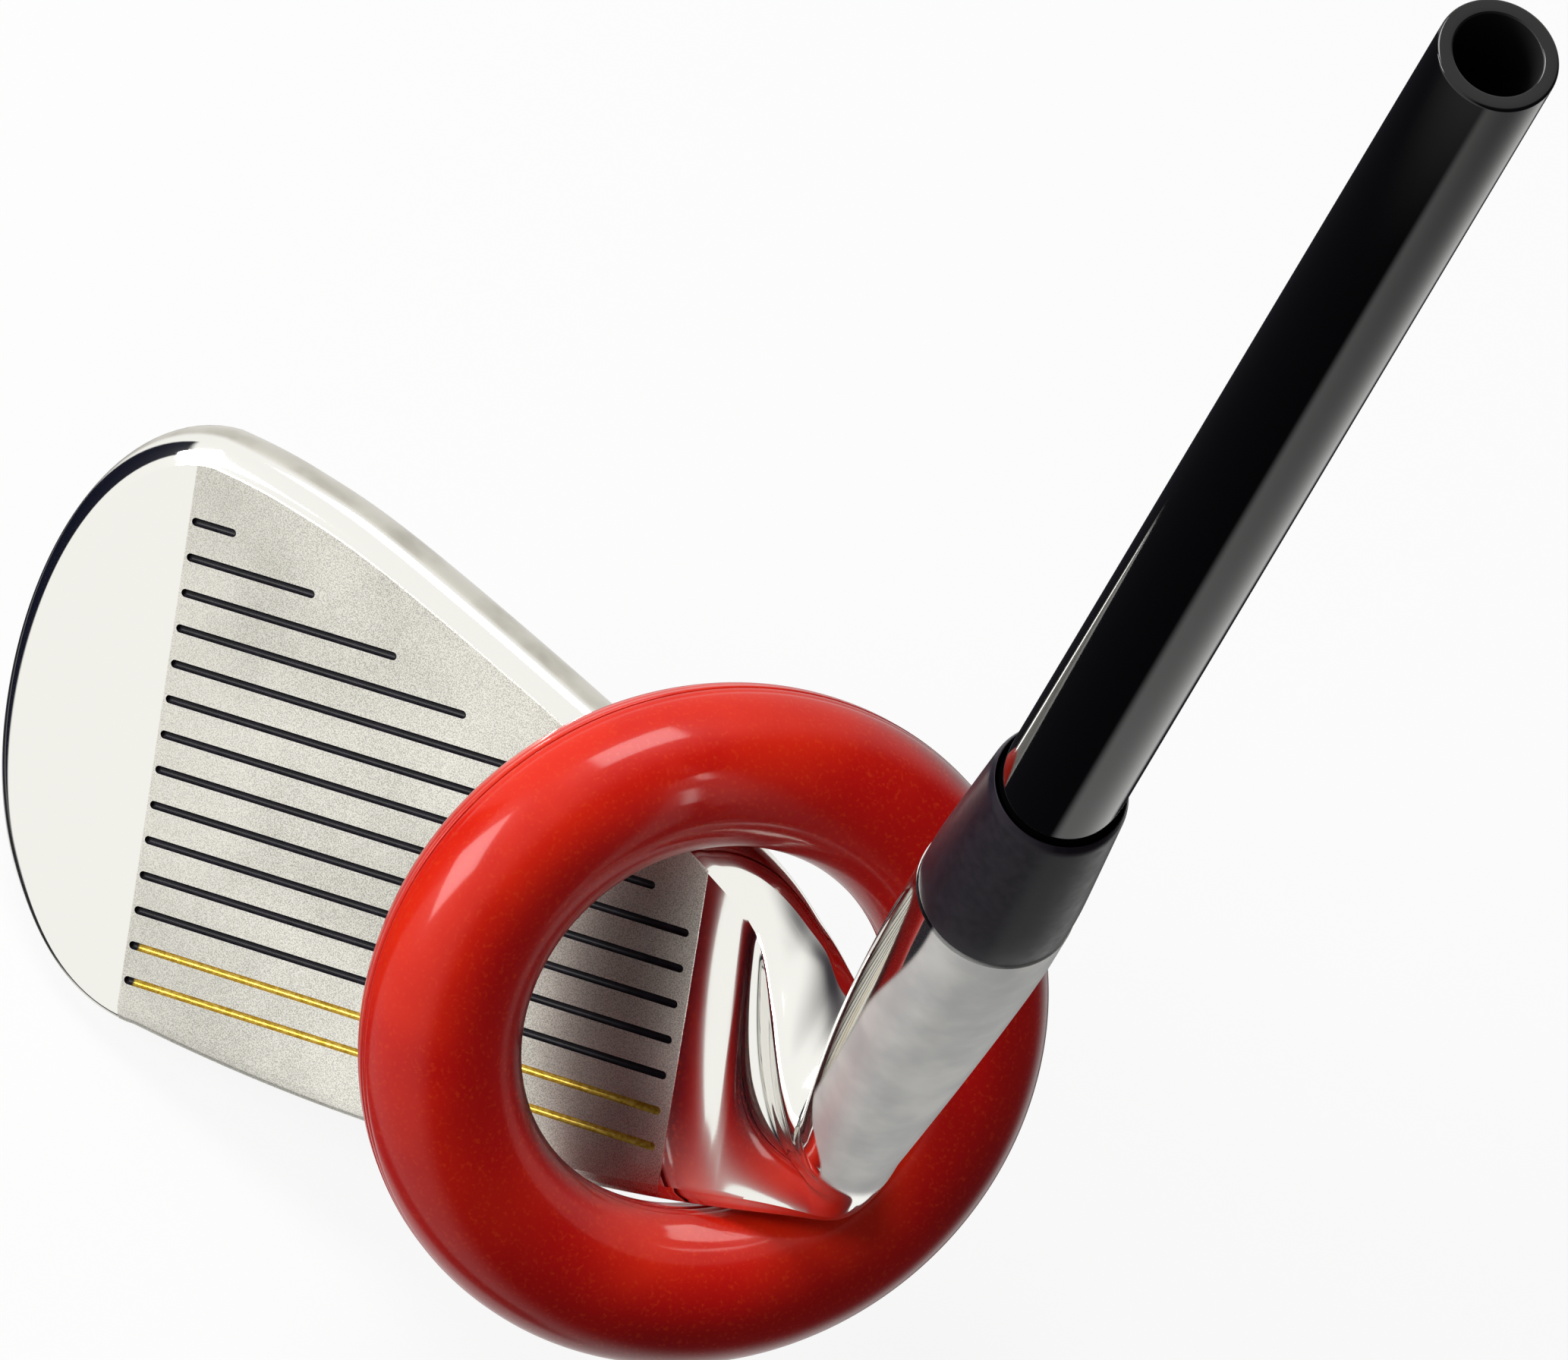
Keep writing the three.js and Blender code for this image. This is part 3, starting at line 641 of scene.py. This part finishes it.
top_colour = mixed_colours(tree, between(tree, cloud, 0.35, 0.65), TOPLINE_BROWN, TOPLINE_BEIGE)
colour = mixed_colours(tree, satin, POLISH, satin_colour)
colour = mixed_colours(tree, top_band, colour, top_colour)
colour = mixed_colours(tree, blasted, colour, face_colour)
tree.links.new(colour, shader.inputs["Base Color"])

# Roughness: each finish has its own, and the polish is nearly a mirror
TOPLINE_ROUGHNESS = 0.33
BLASTED_ROUGHNESS = 0.3
rough = combined(tree, "MULTIPLY", satin, between(tree, brushed, 0.2, 0.8, 0.41, 0.45))
rough = combined(tree, "MAXIMUM", rough, combined(tree, "MULTIPLY", top_band, TOPLINE_ROUGHNESS))
rough = combined(tree, "MAXIMUM", rough, combined(tree, "MULTIPLY", blasted, BLASTED_ROUGHNESS))
rough = combined(tree, "MAXIMUM", rough, between(tree, cloud, 0.2, 0.8, 0.035, 0.06))
tree.links.new(rough, shader.inputs["Roughness"])
tree.links.new(between(tree, satin, 0, 1, 1.0, SATIN_METALLIC), shader.inputs["Metallic"])
shader.inputs["Coat Weight"].default_value = 0.3
shader.inputs["Coat Roughness"].default_value = 0.45
grainy = combined(tree, "MAXIMUM", blasted, combined(tree, "MULTIPLY", satin, 0.25))
bumped(tree, shader, combined(tree, "MULTIPLY", grain, grainy), 0.35, 0.00003)

# Paint in the grooves: near black, and gold in the two lowest, whose toe ends stay unfilled and get the
# near black as painted shade
GOLD_BELOW_V = 9.4
SHADED_END_X = 0.45
DARK_PAINT = (0.004, 0.003, 0.006, 1)
WORN_PAINT = (0.012, 0.009, 0.016, 1)
GOLD_PAINT = (0.38, 0.24, 0.02, 1)
GOLD_FLAKES = (0.62, 0.45, 0.09, 1)
tree = groove_paint.node_tree
shader = tree.nodes["Principled BSDF"]
up_face = head_coordinate(tree, (0, math.sin(LOFT), math.cos(LOFT)))
x = head_coordinate(tree, (1, 0, 0))
flakes = noise(tree, 2500, 2.0)
worn = noise(tree, 700, 3.0)
dark = mixed_colours(tree, between(tree, worn, 0.4, 0.75), DARK_PAINT, WORN_PAINT)
gold = mixed_colours(tree, between(tree, flakes, 0.3, 0.7), GOLD_PAINT, GOLD_FLAKES)
# Painted shade: the unfilled toe ends of the gold grooves keep the near black colour
filled = between(tree, x, SHADED_END_X - 0.15, SHADED_END_X + 0.15)
is_gold = combined(tree, "MULTIPLY", combined(tree, "LESS_THAN", up_face, GOLD_BELOW_V), filled)
tree.links.new(mixed_colours(tree, is_gold, dark, gold), shader.inputs["Base Color"])
tree.links.new(between(tree, is_gold, 0, 1, 0.4, 0.3), shader.inputs["Roughness"])
tree.links.new(combined(tree, "MULTIPLY", is_gold, 0.6), shader.inputs["Metallic"])
shader.inputs["Specular IOR Level"].default_value = 0.2
bumped(tree, shader, worn, 0.4, 0.00006)

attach(head, "club")
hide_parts("iron_head")

# Tip weight
# Turned brass plug that is pushed into the shaft's tip before the head goes on, and sets the swing weight.
# Its flange sits between the tube's end and the floor of the hosel's bore. GAP is the room that each
# seated piece has round it.
GAP = 0.3
SHAFT_TIP_RADIUS = 4.75
SHAFT_BORE_RADIUS = 3.3
TIP_WEIGHT_LENGTH = 22
TIP_WEIGHT_FLANGE = 1.4
TIP_WEIGHT_CHAMFER = 1.0
TIP_WEIGHT_AROUND = 72
CORNER_REACH = 0.45
MERGE_M = 1e-7
SHARP_ANGLE = math.radians(40)


def softened(corners, steps):
    """A closed outline with eased corners, from a radius, a height and a softness for each corner."""
    points = []
    for i, (radius, t, soft) in enumerate(corners):
        here = np.array((radius, t), float)
        sides = []
        for other in (corners[i - 1], corners[(i + 1) % len(corners)]):
            away = np.array(other[:2], float) - here
            length = np.linalg.norm(away)
            sides.append(here + away / length * min(soft, CORNER_REACH * length))
        if soft == 0:
            points.append(here)
            continue
        for k in np.linspace(0, 1, steps):
            points.append((1 - k) ** 2 * sides[0] + 2 * k * (1 - k) * here + k ** 2 * sides[1])
    return points


def turned(name, outline, around):
    """A body turned about the shaft's axis from an outline of radius and height above the seam."""
    vertices = []
    faces = []
    turns = np.linspace(0, 2 * math.pi, around, endpoint=False)
    for radius, t in outline:
        z = (t - SHAFT_CUT_T) * MM
        vertices += [(radius * MM * math.cos(a), radius * MM * math.sin(a), z) for a in turns]
    for s in range(len(outline)):
        after = (s + 1) % len(outline)
        if outline[s][0] == 0 and outline[after][0] == 0:
            continue
        for i in range(around):
            j = (i + 1) % around
            faces.append((s * around + i, s * around + j, after * around + j, after * around + i))
    made = new_object(name, vertices, faces, MERGE_M)
    made.data.shade_smooth()
    made.data.set_sharp_from_angle(angle=SHARP_ANGLE)
    return made


bottom = -HOSEL_BORE_DEPTH + GAP
top = bottom + TIP_WEIGHT_LENGTH
flange_radius = SHAFT_TIP_RADIUS - GAP
plug_radius = SHAFT_BORE_RADIUS - GAP
tip_weight = turned("tip_weight_plug", softened([
    (0, bottom, 0),
    (flange_radius, bottom, 0.3),
    (flange_radius, bottom + TIP_WEIGHT_FLANGE, 0.2),
    (plug_radius, bottom + TIP_WEIGHT_FLANGE, 0.15),
    (plug_radius, top - TIP_WEIGHT_CHAMFER, 0.3),
    (plug_radius - TIP_WEIGHT_CHAMFER, top, 0.2),
    (0, top, 0),
], 5), TIP_WEIGHT_AROUND)
brass, shader, tree = new_material("turned_brass")
lathe_lines = noise(tree, 400, 1.0, (0.2, 0.2, 30))
tree.links.new(mixed_colours(tree, lathe_lines, (0.55, 0.33, 0.09, 1), (0.72, 0.48, 0.16, 1)),
               shader.inputs["Base Color"])
shader.inputs["Metallic"].default_value = 1
shader.inputs["Roughness"].default_value = 0.3
bumped(tree, shader, lathe_lines, 0.3, 0.00004)
tip_weight.data.materials.append(brass)
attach(tip_weight, "club")
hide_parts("tip_weight")

# Shaft tube
# Wound fibre tube under a gloss black coat, narrower where it goes into the hosel and glued there.
# The cut end is square and open, with a wider socket inside, where the coat ends and the bore is dull.
SHAFT_SHOULDER = (2, 8)
SHAFT_BUTT_RADIUS = 5.4
SHAFT_CUT_RADIUS = 4.9
SHAFT_SOCKET_RADIUS = 3.6
SHAFT_SOCKET_DEPTH = 60
SHAFT_AROUND = 128
COAT_RADII = (3.65, 3.7)
GLOSS_BLACK = (0.0022, 0.0022, 0.0026, 1)
BARE_FIBRE = (0.012, 0.011, 0.011, 1)
tip_t = -HOSEL_BORE_DEPTH + TIP_WEIGHT_FLANGE + 2 * GAP
socket_t = SHAFT_CUT_T - SHAFT_SOCKET_DEPTH
shaft = turned("shaft_tube_lacquered", softened([
    (SHAFT_BORE_RADIUS, tip_t, 0.2),
    (SHAFT_TIP_RADIUS, tip_t, 0.3),
    (SHAFT_TIP_RADIUS, SHAFT_SHOULDER[0], 1.0),
    (SHAFT_BUTT_RADIUS, SHAFT_SHOULDER[1], 1.0),
    (SHAFT_CUT_RADIUS, SHAFT_CUT_T, 0.25),
    (SHAFT_SOCKET_RADIUS, SHAFT_CUT_T, 0.2),
    (SHAFT_SOCKET_RADIUS, socket_t, 0.2),
    (SHAFT_BORE_RADIUS, socket_t, 0.2),
], 6), SHAFT_AROUND)
lacquer, shader, tree = new_material("gloss_black_lacquer")
off_axis = add_node(tree, "ShaderNodeVectorMath", {
    0: add_node(tree, "ShaderNodeTexCoord").outputs["Object"], 1: (1, 1, 0)}, operation="MULTIPLY")
radius = add_node(tree, "ShaderNodeVectorMath", {0: off_axis.outputs[0]}, operation="LENGTH")
in_bore = between(tree, radius.outputs["Value"], COAT_RADII[0] * MM, COAT_RADII[1] * MM, 1.0, 0.0)
ripple = noise(tree, 60, 1.0, (1, 1, 0.15))
tree.links.new(mixed_colours(tree, in_bore, GLOSS_BLACK, BARE_FIBRE), shader.inputs["Base Color"])
tree.links.new(between(tree, in_bore, 0, 1, 0.05, 0.5), shader.inputs["Roughness"])
shader.inputs["Specular IOR Level"].default_value = 0.35
shader.inputs["Coat Weight"].default_value = 0.1
shader.inputs["Coat Roughness"].default_value = 0.03
bumped(tree, shader, ripple, 0.05, 0.0004)
shaft.data.materials.append(lacquer)
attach(shaft, "club")
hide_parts("shaft_tube")

# Ferrule
# Turned plastic sleeve, satin violet black, slid down the shaft on to the hosel's end and glued.
# It tapers from the hosel's width to a bevelled rim that stands off the shaft.
FERRULE_LENGTH = 21
FERRULE_TOP_RADIUS = 6.1
FERRULE_BEVEL = 0.7
FERRULE_UNDER_HOSEL = 0.1
FERRULE_STRAIGHT = 4
FERRULE_LAND = 0.1
FERRULE_AROUND = 128
ferrule_radius = HOSEL_RADIUS - FERRULE_UNDER_HOSEL
top_bore = SHAFT_BUTT_RADIUS + GAP
ferrule = turned("ferrule_sleeve", softened([
    (SHAFT_TIP_RADIUS + GAP, GAP, 0.1),
    (ferrule_radius, GAP, 0.25),
    (ferrule_radius, FERRULE_STRAIGHT, 3.0),
    (FERRULE_TOP_RADIUS, FERRULE_LENGTH - FERRULE_BEVEL, 0.6),
    (top_bore + FERRULE_LAND, FERRULE_LENGTH, 0.06),
    (top_bore, FERRULE_LENGTH, 0.04),
    (top_bore, SHAFT_SHOULDER[1], 0.3),
    (SHAFT_TIP_RADIUS + GAP, SHAFT_SHOULDER[0], 0.3),
], 8), FERRULE_AROUND)
plastic, shader, tree = new_material("satin_violet_black")
mottle = noise(tree, 900, 3.0)
tree.links.new(mixed_colours(tree, between(tree, mottle, 0.3, 0.7), (0.013, 0.010, 0.016, 1),
                             (0.020, 0.015, 0.023, 1)), shader.inputs["Base Color"])
tree.links.new(between(tree, mottle, 0.25, 0.75, 0.30, 0.38), shader.inputs["Roughness"])
shader.inputs["Specular IOR Level"].default_value = 0.12
bumped(tree, shader, noise(tree, 5000, 2.0), 0.12, 0.00002)
ferrule.data.materials.append(plastic)
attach(ferrule, "club")
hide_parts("ferrule")

# Ring core
# Cast iron ring that gives the swing weight its mass. It was dipped, so the red skin hides it. The ring
# hangs hooked round the heel, resting on the leading edge and on the topline with a hair's clearance.
RING_AXIS = Vector((0.72, -0.551, 0.421)).normalized()
RING_REST_DEPTH = 0.794
RING_STANDS_OFF = Vector((0.1151, -0.6709, -0.7326)).normalized()
RING_CLEARANCE = 0.42
RING_RADIUS = 24.5
RING_SECTION_RADIUS = 7.2
RING_SKIN = 1.2
CORE_AROUND = 160
CORE_SECTION_POINTS = 40
HALVINGS = 40


def ring_centre_at(x):
    """Where the ring's centre lies when it rests on the leading edge at x."""
    rest = Vector(face_point(x, low_edge_v(x), RING_REST_DEPTH))
    spoke = (RING_STANDS_OFF - RING_STANDS_OFF.project(RING_AXIS)).normalized()
    return rest + RING_STANDS_OFF * (RING_SECTION_RADIUS + RING_CLEARANCE) - spoke * RING_RADIUS


def topline_clearance(centre):
    """How far the topline's rim stays from the ring's skin."""
    edge_x, inset = np.meshgrid(topline_curve[:, 0], TOP_RIM[:, 0])
    edge_v, rim_depth = np.meshgrid(topline_curve[:, 1], TOP_RIM[:, 1])
    away = face_point(edge_x, edge_v - inset, rim_depth) - np.array(centre)
    lift = away @ np.array(RING_AXIS)
    across = np.sqrt((away ** 2).sum(-1) - lift ** 2)
    return (np.hypot(across - RING_RADIUS, lift) - RING_SECTION_RADIUS).min()


# The ring has slid along the leading edge towards the toe, as far as the topline leaves it room
toe_x = TOE_CENTRE[0]
heel_x = PIVOT[0]
for _ in range(HALVINGS):
    halfway = (toe_x + heel_x) / 2
    if topline_clearance(ring_centre_at(halfway)) < RING_CLEARANCE:
        toe_x = halfway
    else:
        heel_x = halfway
ring_centre = ring_centre_at(heel_x)
stand = Vector((0, 0, 1)).rotation_difference(RING_AXIS).to_matrix().to_4x4()
ring_place = to_row @ Matrix.Translation(ring_centre) @ stand


def swept_ring(name, section, around):
    """A closed section of distance from the ring's middle circle, swept round the ring's axis."""
    vertices = []
    faces = []
    count = len(section)
    for s in range(around):
        turn = 2 * math.pi * s / around
        for across, lift in section:
            reach = RING_RADIUS + across
            vertices.append(ring_place @ Vector((reach * math.cos(turn), reach * math.sin(turn), lift)))
        ahead = (s + 1) % around
        for i in range(count):
            j = (i + 1) % count
            faces.append((s * count + i, s * count + j, ahead * count + j, ahead * count + i))
    made = new_object(name, vertices, faces, MERGE_M)
    made.data.shade_smooth()
    made.data.set_sharp_from_angle(angle=SHARP_ANGLE)
    return made


core_radius = RING_SECTION_RADIUS - RING_SKIN - GAP
core_turns = np.linspace(0, 2 * math.pi, CORE_SECTION_POINTS, endpoint=False)
core_section = [(core_radius * math.cos(a), core_radius * math.sin(a)) for a in core_turns]
core = swept_ring("ring_core_casting", core_section, CORE_AROUND)
iron, shader, tree = new_material("cast_iron")
casting = noise(tree, 1400, 5.0)
tree.links.new(mixed_colours(tree, casting, (0.035, 0.033, 0.032, 1), (0.10, 0.09, 0.085, 1)),
               shader.inputs["Base Color"])
shader.inputs["Metallic"].default_value = 0.8
shader.inputs["Roughness"].default_value = 0.6
bumped(tree, shader, casting, 0.6, 0.0002)
core.data.materials.append(iron)
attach(core, "ring")
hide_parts("ring_core")

# Ring covers
# Glossy red vinyl skin over the iron, in a front and a rear half that meet in a fine line round the ring.
# Each half's edge is rounded over and has a shallow line pressed beside it.
RING_AROUND = 320
COVER_EDGE = 0.22
COVER_EDGE_STEPS = 5
COVER_NEAR_EDGE = 0.34
COVER_NEAR_STEPS = 22
COVER_STEPS = 44
COVER_INSIDE_STEPS = 16
SEAM_LINE_AT = 1.0
SEAM_LINE_DEPTH = 0.05
SEAM_LINE_WIDTH = 0.22


def cover_section(side):
    """One half of the skin: its outer arc with rounded ends, then back along the inside."""
    inner = RING_SECTION_RADIUS - RING_SKIN
    half_gap = GAP / 2
    points = []
    for k in np.linspace(0, math.pi / 2, COVER_EDGE_STEPS + 1)[:-1]:
        across = RING_SECTION_RADIUS - COVER_EDGE * (1 - math.sin(k))
        points.append((across, half_gap + COVER_EDGE * (1 - math.cos(k))))
    start = math.asin((half_gap + COVER_EDGE) / RING_SECTION_RADIUS)
    near_end = start + COVER_NEAR_EDGE
    near = np.linspace(start, near_end, COVER_NEAR_STEPS)
    over = np.linspace(near_end, math.pi - near_end, COVER_STEPS)[1:-1]
    for angle in np.concatenate((near, over, (math.pi - near)[::-1])):
        from_edge = RING_SECTION_RADIUS * min(angle, math.pi - angle)
        line = SEAM_LINE_DEPTH * math.exp(-((from_edge - SEAM_LINE_AT) / SEAM_LINE_WIDTH) ** 2)
        reach = RING_SECTION_RADIUS - line
        points.append((reach * math.cos(angle), reach * math.sin(angle)))
    points += [(-x, y) for x, y in points[:COVER_EDGE_STEPS][::-1]]
    for angle in np.linspace(math.pi, 0, COVER_INSIDE_STEPS):
        points.append((inner * math.cos(angle), half_gap + inner * math.sin(angle)))
    return [(x, side * y) for x, y in points]


def skin_facing(tree, direction):
    """How far the ring's skin faces a way, from minus one to one, worked out from the place on the ring."""
    axis = (to_row.to_3x3() @ RING_AXIS).normalized()
    middle = to_row @ Vector(ring_centre)

    def vector(operation, a, b=(0, 0, 0)):
        return add_node(tree, "ShaderNodeVectorMath", {0: a, 1: b}, operation=operation).outputs[0]

    away = vector("SUBTRACT", add_node(tree, "ShaderNodeTexCoord").outputs["Object"], middle)
    spoke = vector("NORMALIZE", vector("SUBTRACT", away, vector("PROJECT", away, axis)))
    outward = vector("SUBTRACT", away, vector("MULTIPLY", spoke, Vector((1, 1, 1)) * RING_RADIUS * MM))
    facing_it = add_node(tree, "ShaderNodeVectorMath", {
        0: vector("NORMALIZE", outward), 1: Vector(direction).normalized()}, operation="DOT_PRODUCT")
    return facing_it.outputs["Value"]


# Painted light and shade: the skin is painted orange red on the side turned to the key lamp, crimson on the
# side turned away from it, and darkest plum as painted shade towards the head
KEY_LAMP_WAY = (-0.55, -0.10, 0.83)
PAINTED_SHADE_WAY = (0.504, 0.858, -0.094)
PAINTED_SHADE_PLUM = (0.09, 0.003, 0.012, 1)
SHADED_SIDE_CRIMSON = (0.42, 0.003, 0.005, 1)
RED = (0.56, 0.004, 0.003, 1)
LIT_SIDE_ORANGE_RED = (0.74, 0.020, 0.004, 1)
ORANGE_FLECKS = (0.75, 0.05, 0.008, 1)
SHADED_TO_RED = (-0.6, 0.3)
RED_TO_LIT_ORANGE = (0.3, 1.1)
TO_PAINTED_SHADE = (0.35, 0.85)
vinyl, shader, tree = new_material("glossy_red_vinyl")
cloud = noise(tree, 70, 3.0)
fleck = noise(tree, 2600, 2.0)
waves = noise(tree, 45, 2.0)
# Painted light: lighter and more orange where the skin faces the key lamp, with a random cloud of tone
# added
painted_light_and_tone = combined(tree, "ADD", skin_facing(tree, KEY_LAMP_WAY), between(tree, cloud, 0.3, 0.7, -0.25, 0.25))
# Painted shade: plum where the skin faces the head
painted_shade = between(tree, skin_facing(tree, PAINTED_SHADE_WAY), *TO_PAINTED_SHADE)
colour = mixed_colours(tree, between(tree, painted_light_and_tone, *SHADED_TO_RED), SHADED_SIDE_CRIMSON, RED)
colour = mixed_colours(tree, between(tree, painted_light_and_tone, *RED_TO_LIT_ORANGE), colour, LIT_SIDE_ORANGE_RED)
colour = mixed_colours(tree, painted_shade, colour, PAINTED_SHADE_PLUM)
colour = mixed_colours(tree, between(tree, fleck, 0.52, 0.75, 0.0, 0.5), colour, ORANGE_FLECKS)
tree.links.new(colour, shader.inputs["Base Color"])
shader.inputs["Roughness"].default_value = 0.35
shader.inputs["Specular IOR Level"].default_value = 0.1
shader.inputs["Coat Weight"].default_value = 0.35
shader.inputs["Coat Roughness"].default_value = 0.1
bumped(tree, shader, waves, 0.4, 0.0016)
for side, name in ((1, "ring_cover_front"), (-1, "ring_cover_rear")):
    cover = swept_ring(name + "_skin", cover_section(side), RING_AROUND)
    cover.data.materials.append(vinyl)
    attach(cover, "ring")
    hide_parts(name)

# Camera
# At the photograph's angle: it looks down on the face from the heel's side, turned so that the shaft
# leaves at the upper right.
CAMERA_TARGET = Vector((-0.026006, 0.032798, -0.192802))
CAMERA_DISTANCE = 1.34167
CAMERA_AZIMUTH = math.radians(2.5076)
CAMERA_ELEVATION = math.radians(59.6467)
CAMERA_ROLL = math.radians(28.9906)
CAMERA_LENS = 348.50
CAMERA_SENSOR = 36.0
CAMERA_NEAREST = 0.05
back = Vector((
    math.sin(CAMERA_AZIMUTH) * math.cos(CAMERA_ELEVATION),
    -math.cos(CAMERA_AZIMUTH) * math.cos(CAMERA_ELEVATION),
    math.sin(CAMERA_ELEVATION)))
camera_data = bpy.data.cameras.new("camera")
camera_data.lens = CAMERA_LENS
camera_data.sensor_width = CAMERA_SENSOR
camera_data.clip_start = CAMERA_NEAREST
camera = bpy.data.objects.new("camera", camera_data)
bpy.context.scene.collection.objects.link(camera)
upright = back.to_track_quat("Z", "Y").to_matrix()
camera.matrix_world = Matrix.LocRotScale(
    CAMERA_TARGET + CAMERA_DISTANCE * back, upright @ Matrix.Rotation(CAMERA_ROLL, 3, "Z"), None)
bpy.context.scene.camera = camera
bpy.context.scene.view_settings.view_transform = "Standard"

# Floor and light
# A pale floor under the head and soft studio light, white wherever the camera looks past the object. In its
# gloss the studio is a white tent, open on the toe's side in one tall dark doorway, dim towards the heel,
# with a dark table edge below.
WHITE_SHARE = 0.88
WORLD_LEVEL = 0.2
TENT_WHITE = (1.08, 1.08, 1.06, 1)
HEEL_DIM = (0.05, 0.045, 0.055, 1)
HEEL_WAY = (0.93, -0.2, 0.3)
HEEL_EDGE = (0.1, 0.55)
DOORWAY = (0.006, 0.007, 0.018, 1)
DOOR_RIGHT_Y = -0.25
DOOR_LEFT_Y = 0.24
DOOR_SLANT = 0.3
DOOR_HEIGHTS = (-0.76, 0.37)
SOFT_EDGE = 0.035
TABLE_EDGE = (0.02, 0.02, 0.025, 1)
TABLE_HEIGHTS = (-0.905, -0.75)
TABLE_END_X = (0.24, 0.38)
FLOOR_REACH = 3.0
FLOOR_BELOW = 0.0005

floor_z = cad_box[0][2] - FLOOR_BELOW
square = ((-1, -1), (1, -1), (1, 1), (-1, 1))
floor_corners = [(FLOOR_REACH * x, FLOOR_REACH * y, floor_z) for x, y in square]
floor = new_object("floor", floor_corners, [(0, 1, 2, 3)], MERGE_M)
pale, shader, tree = new_material("pale_floor")
shader.inputs["Base Color"].default_value = (0.85, 0.85, 0.85, 1)
shader.inputs["Roughness"].default_value = 0.8
path = add_node(tree, "ShaderNodeLightPath")
white = add_node(tree, "ShaderNodeEmission", {"Color": (1, 1, 1, 1), "Strength": 1.0})
seen = add_node(tree, "ShaderNodeMixShader", {
    0: combined(tree, "MULTIPLY", path.outputs["Is Camera Ray"], WHITE_SHARE),
    1: shader.outputs["BSDF"], 2: white.outputs["Emission"]})
clear = add_node(tree, "ShaderNodeBsdfTransparent")
bounced = combined(tree, "MAXIMUM", path.outputs["Is Glossy Ray"], path.outputs["Is Transmission Ray"])
bounced = combined(tree, "MAXIMUM", bounced, path.outputs["Is Diffuse Ray"])
surface = add_node(tree, "ShaderNodeMixShader", {
    0: bounced, 1: seen.outputs["Shader"], 2: clear.outputs["BSDF"]})
tree.links.new(surface.outputs["Shader"], tree.nodes["Material Output"].inputs["Surface"])
floor.data.materials.append(pale)

world = bpy.data.worlds.new("studio")
bpy.context.scene.world = world
world.use_nodes = True
tree = world.node_tree
background = tree.nodes["Background"]
way = add_node(tree, "ShaderNodeTexCoord").outputs["Generated"]


def facing(direction, low, high):
    """One where the sky lies in a direction, none away from it."""
    towards = Vector(direction).normalized()
    dot = add_node(tree, "ShaderNodeVectorMath", {0: way, 1: towards}, operation="DOT_PRODUCT")
    return between(tree, dot.outputs["Value"], low, high)


def above(value, limit):
    """One above a value of a coordinate of the sky, with a soft edge."""
    return between(tree, value, limit - SOFT_EDGE, limit + SOFT_EDGE)


def below(value, limit):
    """One below a value of a coordinate of the sky, with a soft edge."""
    return between(tree, value, limit - SOFT_EDGE, limit + SOFT_EDGE, 1.0, 0.0)


def all_of(*shares):
    """The product of several shares."""
    product = shares[0]
    for share in shares[1:]:
        product = combined(tree, "MULTIPLY", product, share)
    return product


parts = add_node(tree, "ShaderNodeSeparateXYZ", {"Vector": way}).outputs
slanted = combined(tree, "ADD", parts["Y"], combined(tree, "MULTIPLY", parts["Z"], DOOR_SLANT))
door = all_of(
    above(parts["Z"], DOOR_HEIGHTS[0]),
    below(parts["Z"], DOOR_HEIGHTS[1]),
    above(parts["Y"], DOOR_RIGHT_Y),
    below(slanted, DOOR_LEFT_Y),
    combined(tree, "LESS_THAN", parts["X"], 0.0),
)
table = all_of(
    above(parts["Z"], TABLE_HEIGHTS[0]),
    below(parts["Z"], TABLE_HEIGHTS[1]),
    between(tree, parts["X"], *TABLE_END_X, 1.0, 0.0),
)
studio = mixed_colours(tree, facing(HEEL_WAY, *HEEL_EDGE), TENT_WHITE, HEEL_DIM)
studio = mixed_colours(tree, door, studio, DOORWAY)
studio = mixed_colours(tree, table, studio, TABLE_EDGE)
path = add_node(tree, "ShaderNodeLightPath")
level = (WORLD_LEVEL, WORLD_LEVEL, WORLD_LEVEL, 1)
plain = mixed_colours(tree, path.outputs["Is Glossy Ray"], level, studio)
shown = mixed_colours(tree, path.outputs["Is Camera Ray"], plain, (1, 1, 1, 1))
tree.links.new(shown, background.inputs["Color"])
background.inputs["Strength"].default_value = 1

for name, place, size, power in (
    ("soft_box_top", (-0.42, 0.32, 0.65), 0.38, 5.0),
    ("soft_box_left", (-0.85, -0.30, 0.25), 0.42, 6.5),
):
    lamp = bpy.data.lights.new(name, "AREA")
    lamp.energy = power
    lamp.size = size
    box = bpy.data.objects.new(name, lamp)
    bpy.context.scene.collection.objects.link(box)
    box.location = place
    box.rotation_euler = (CAMERA_TARGET - Vector(place)).to_track_quat("-Z", "Y").to_euler()
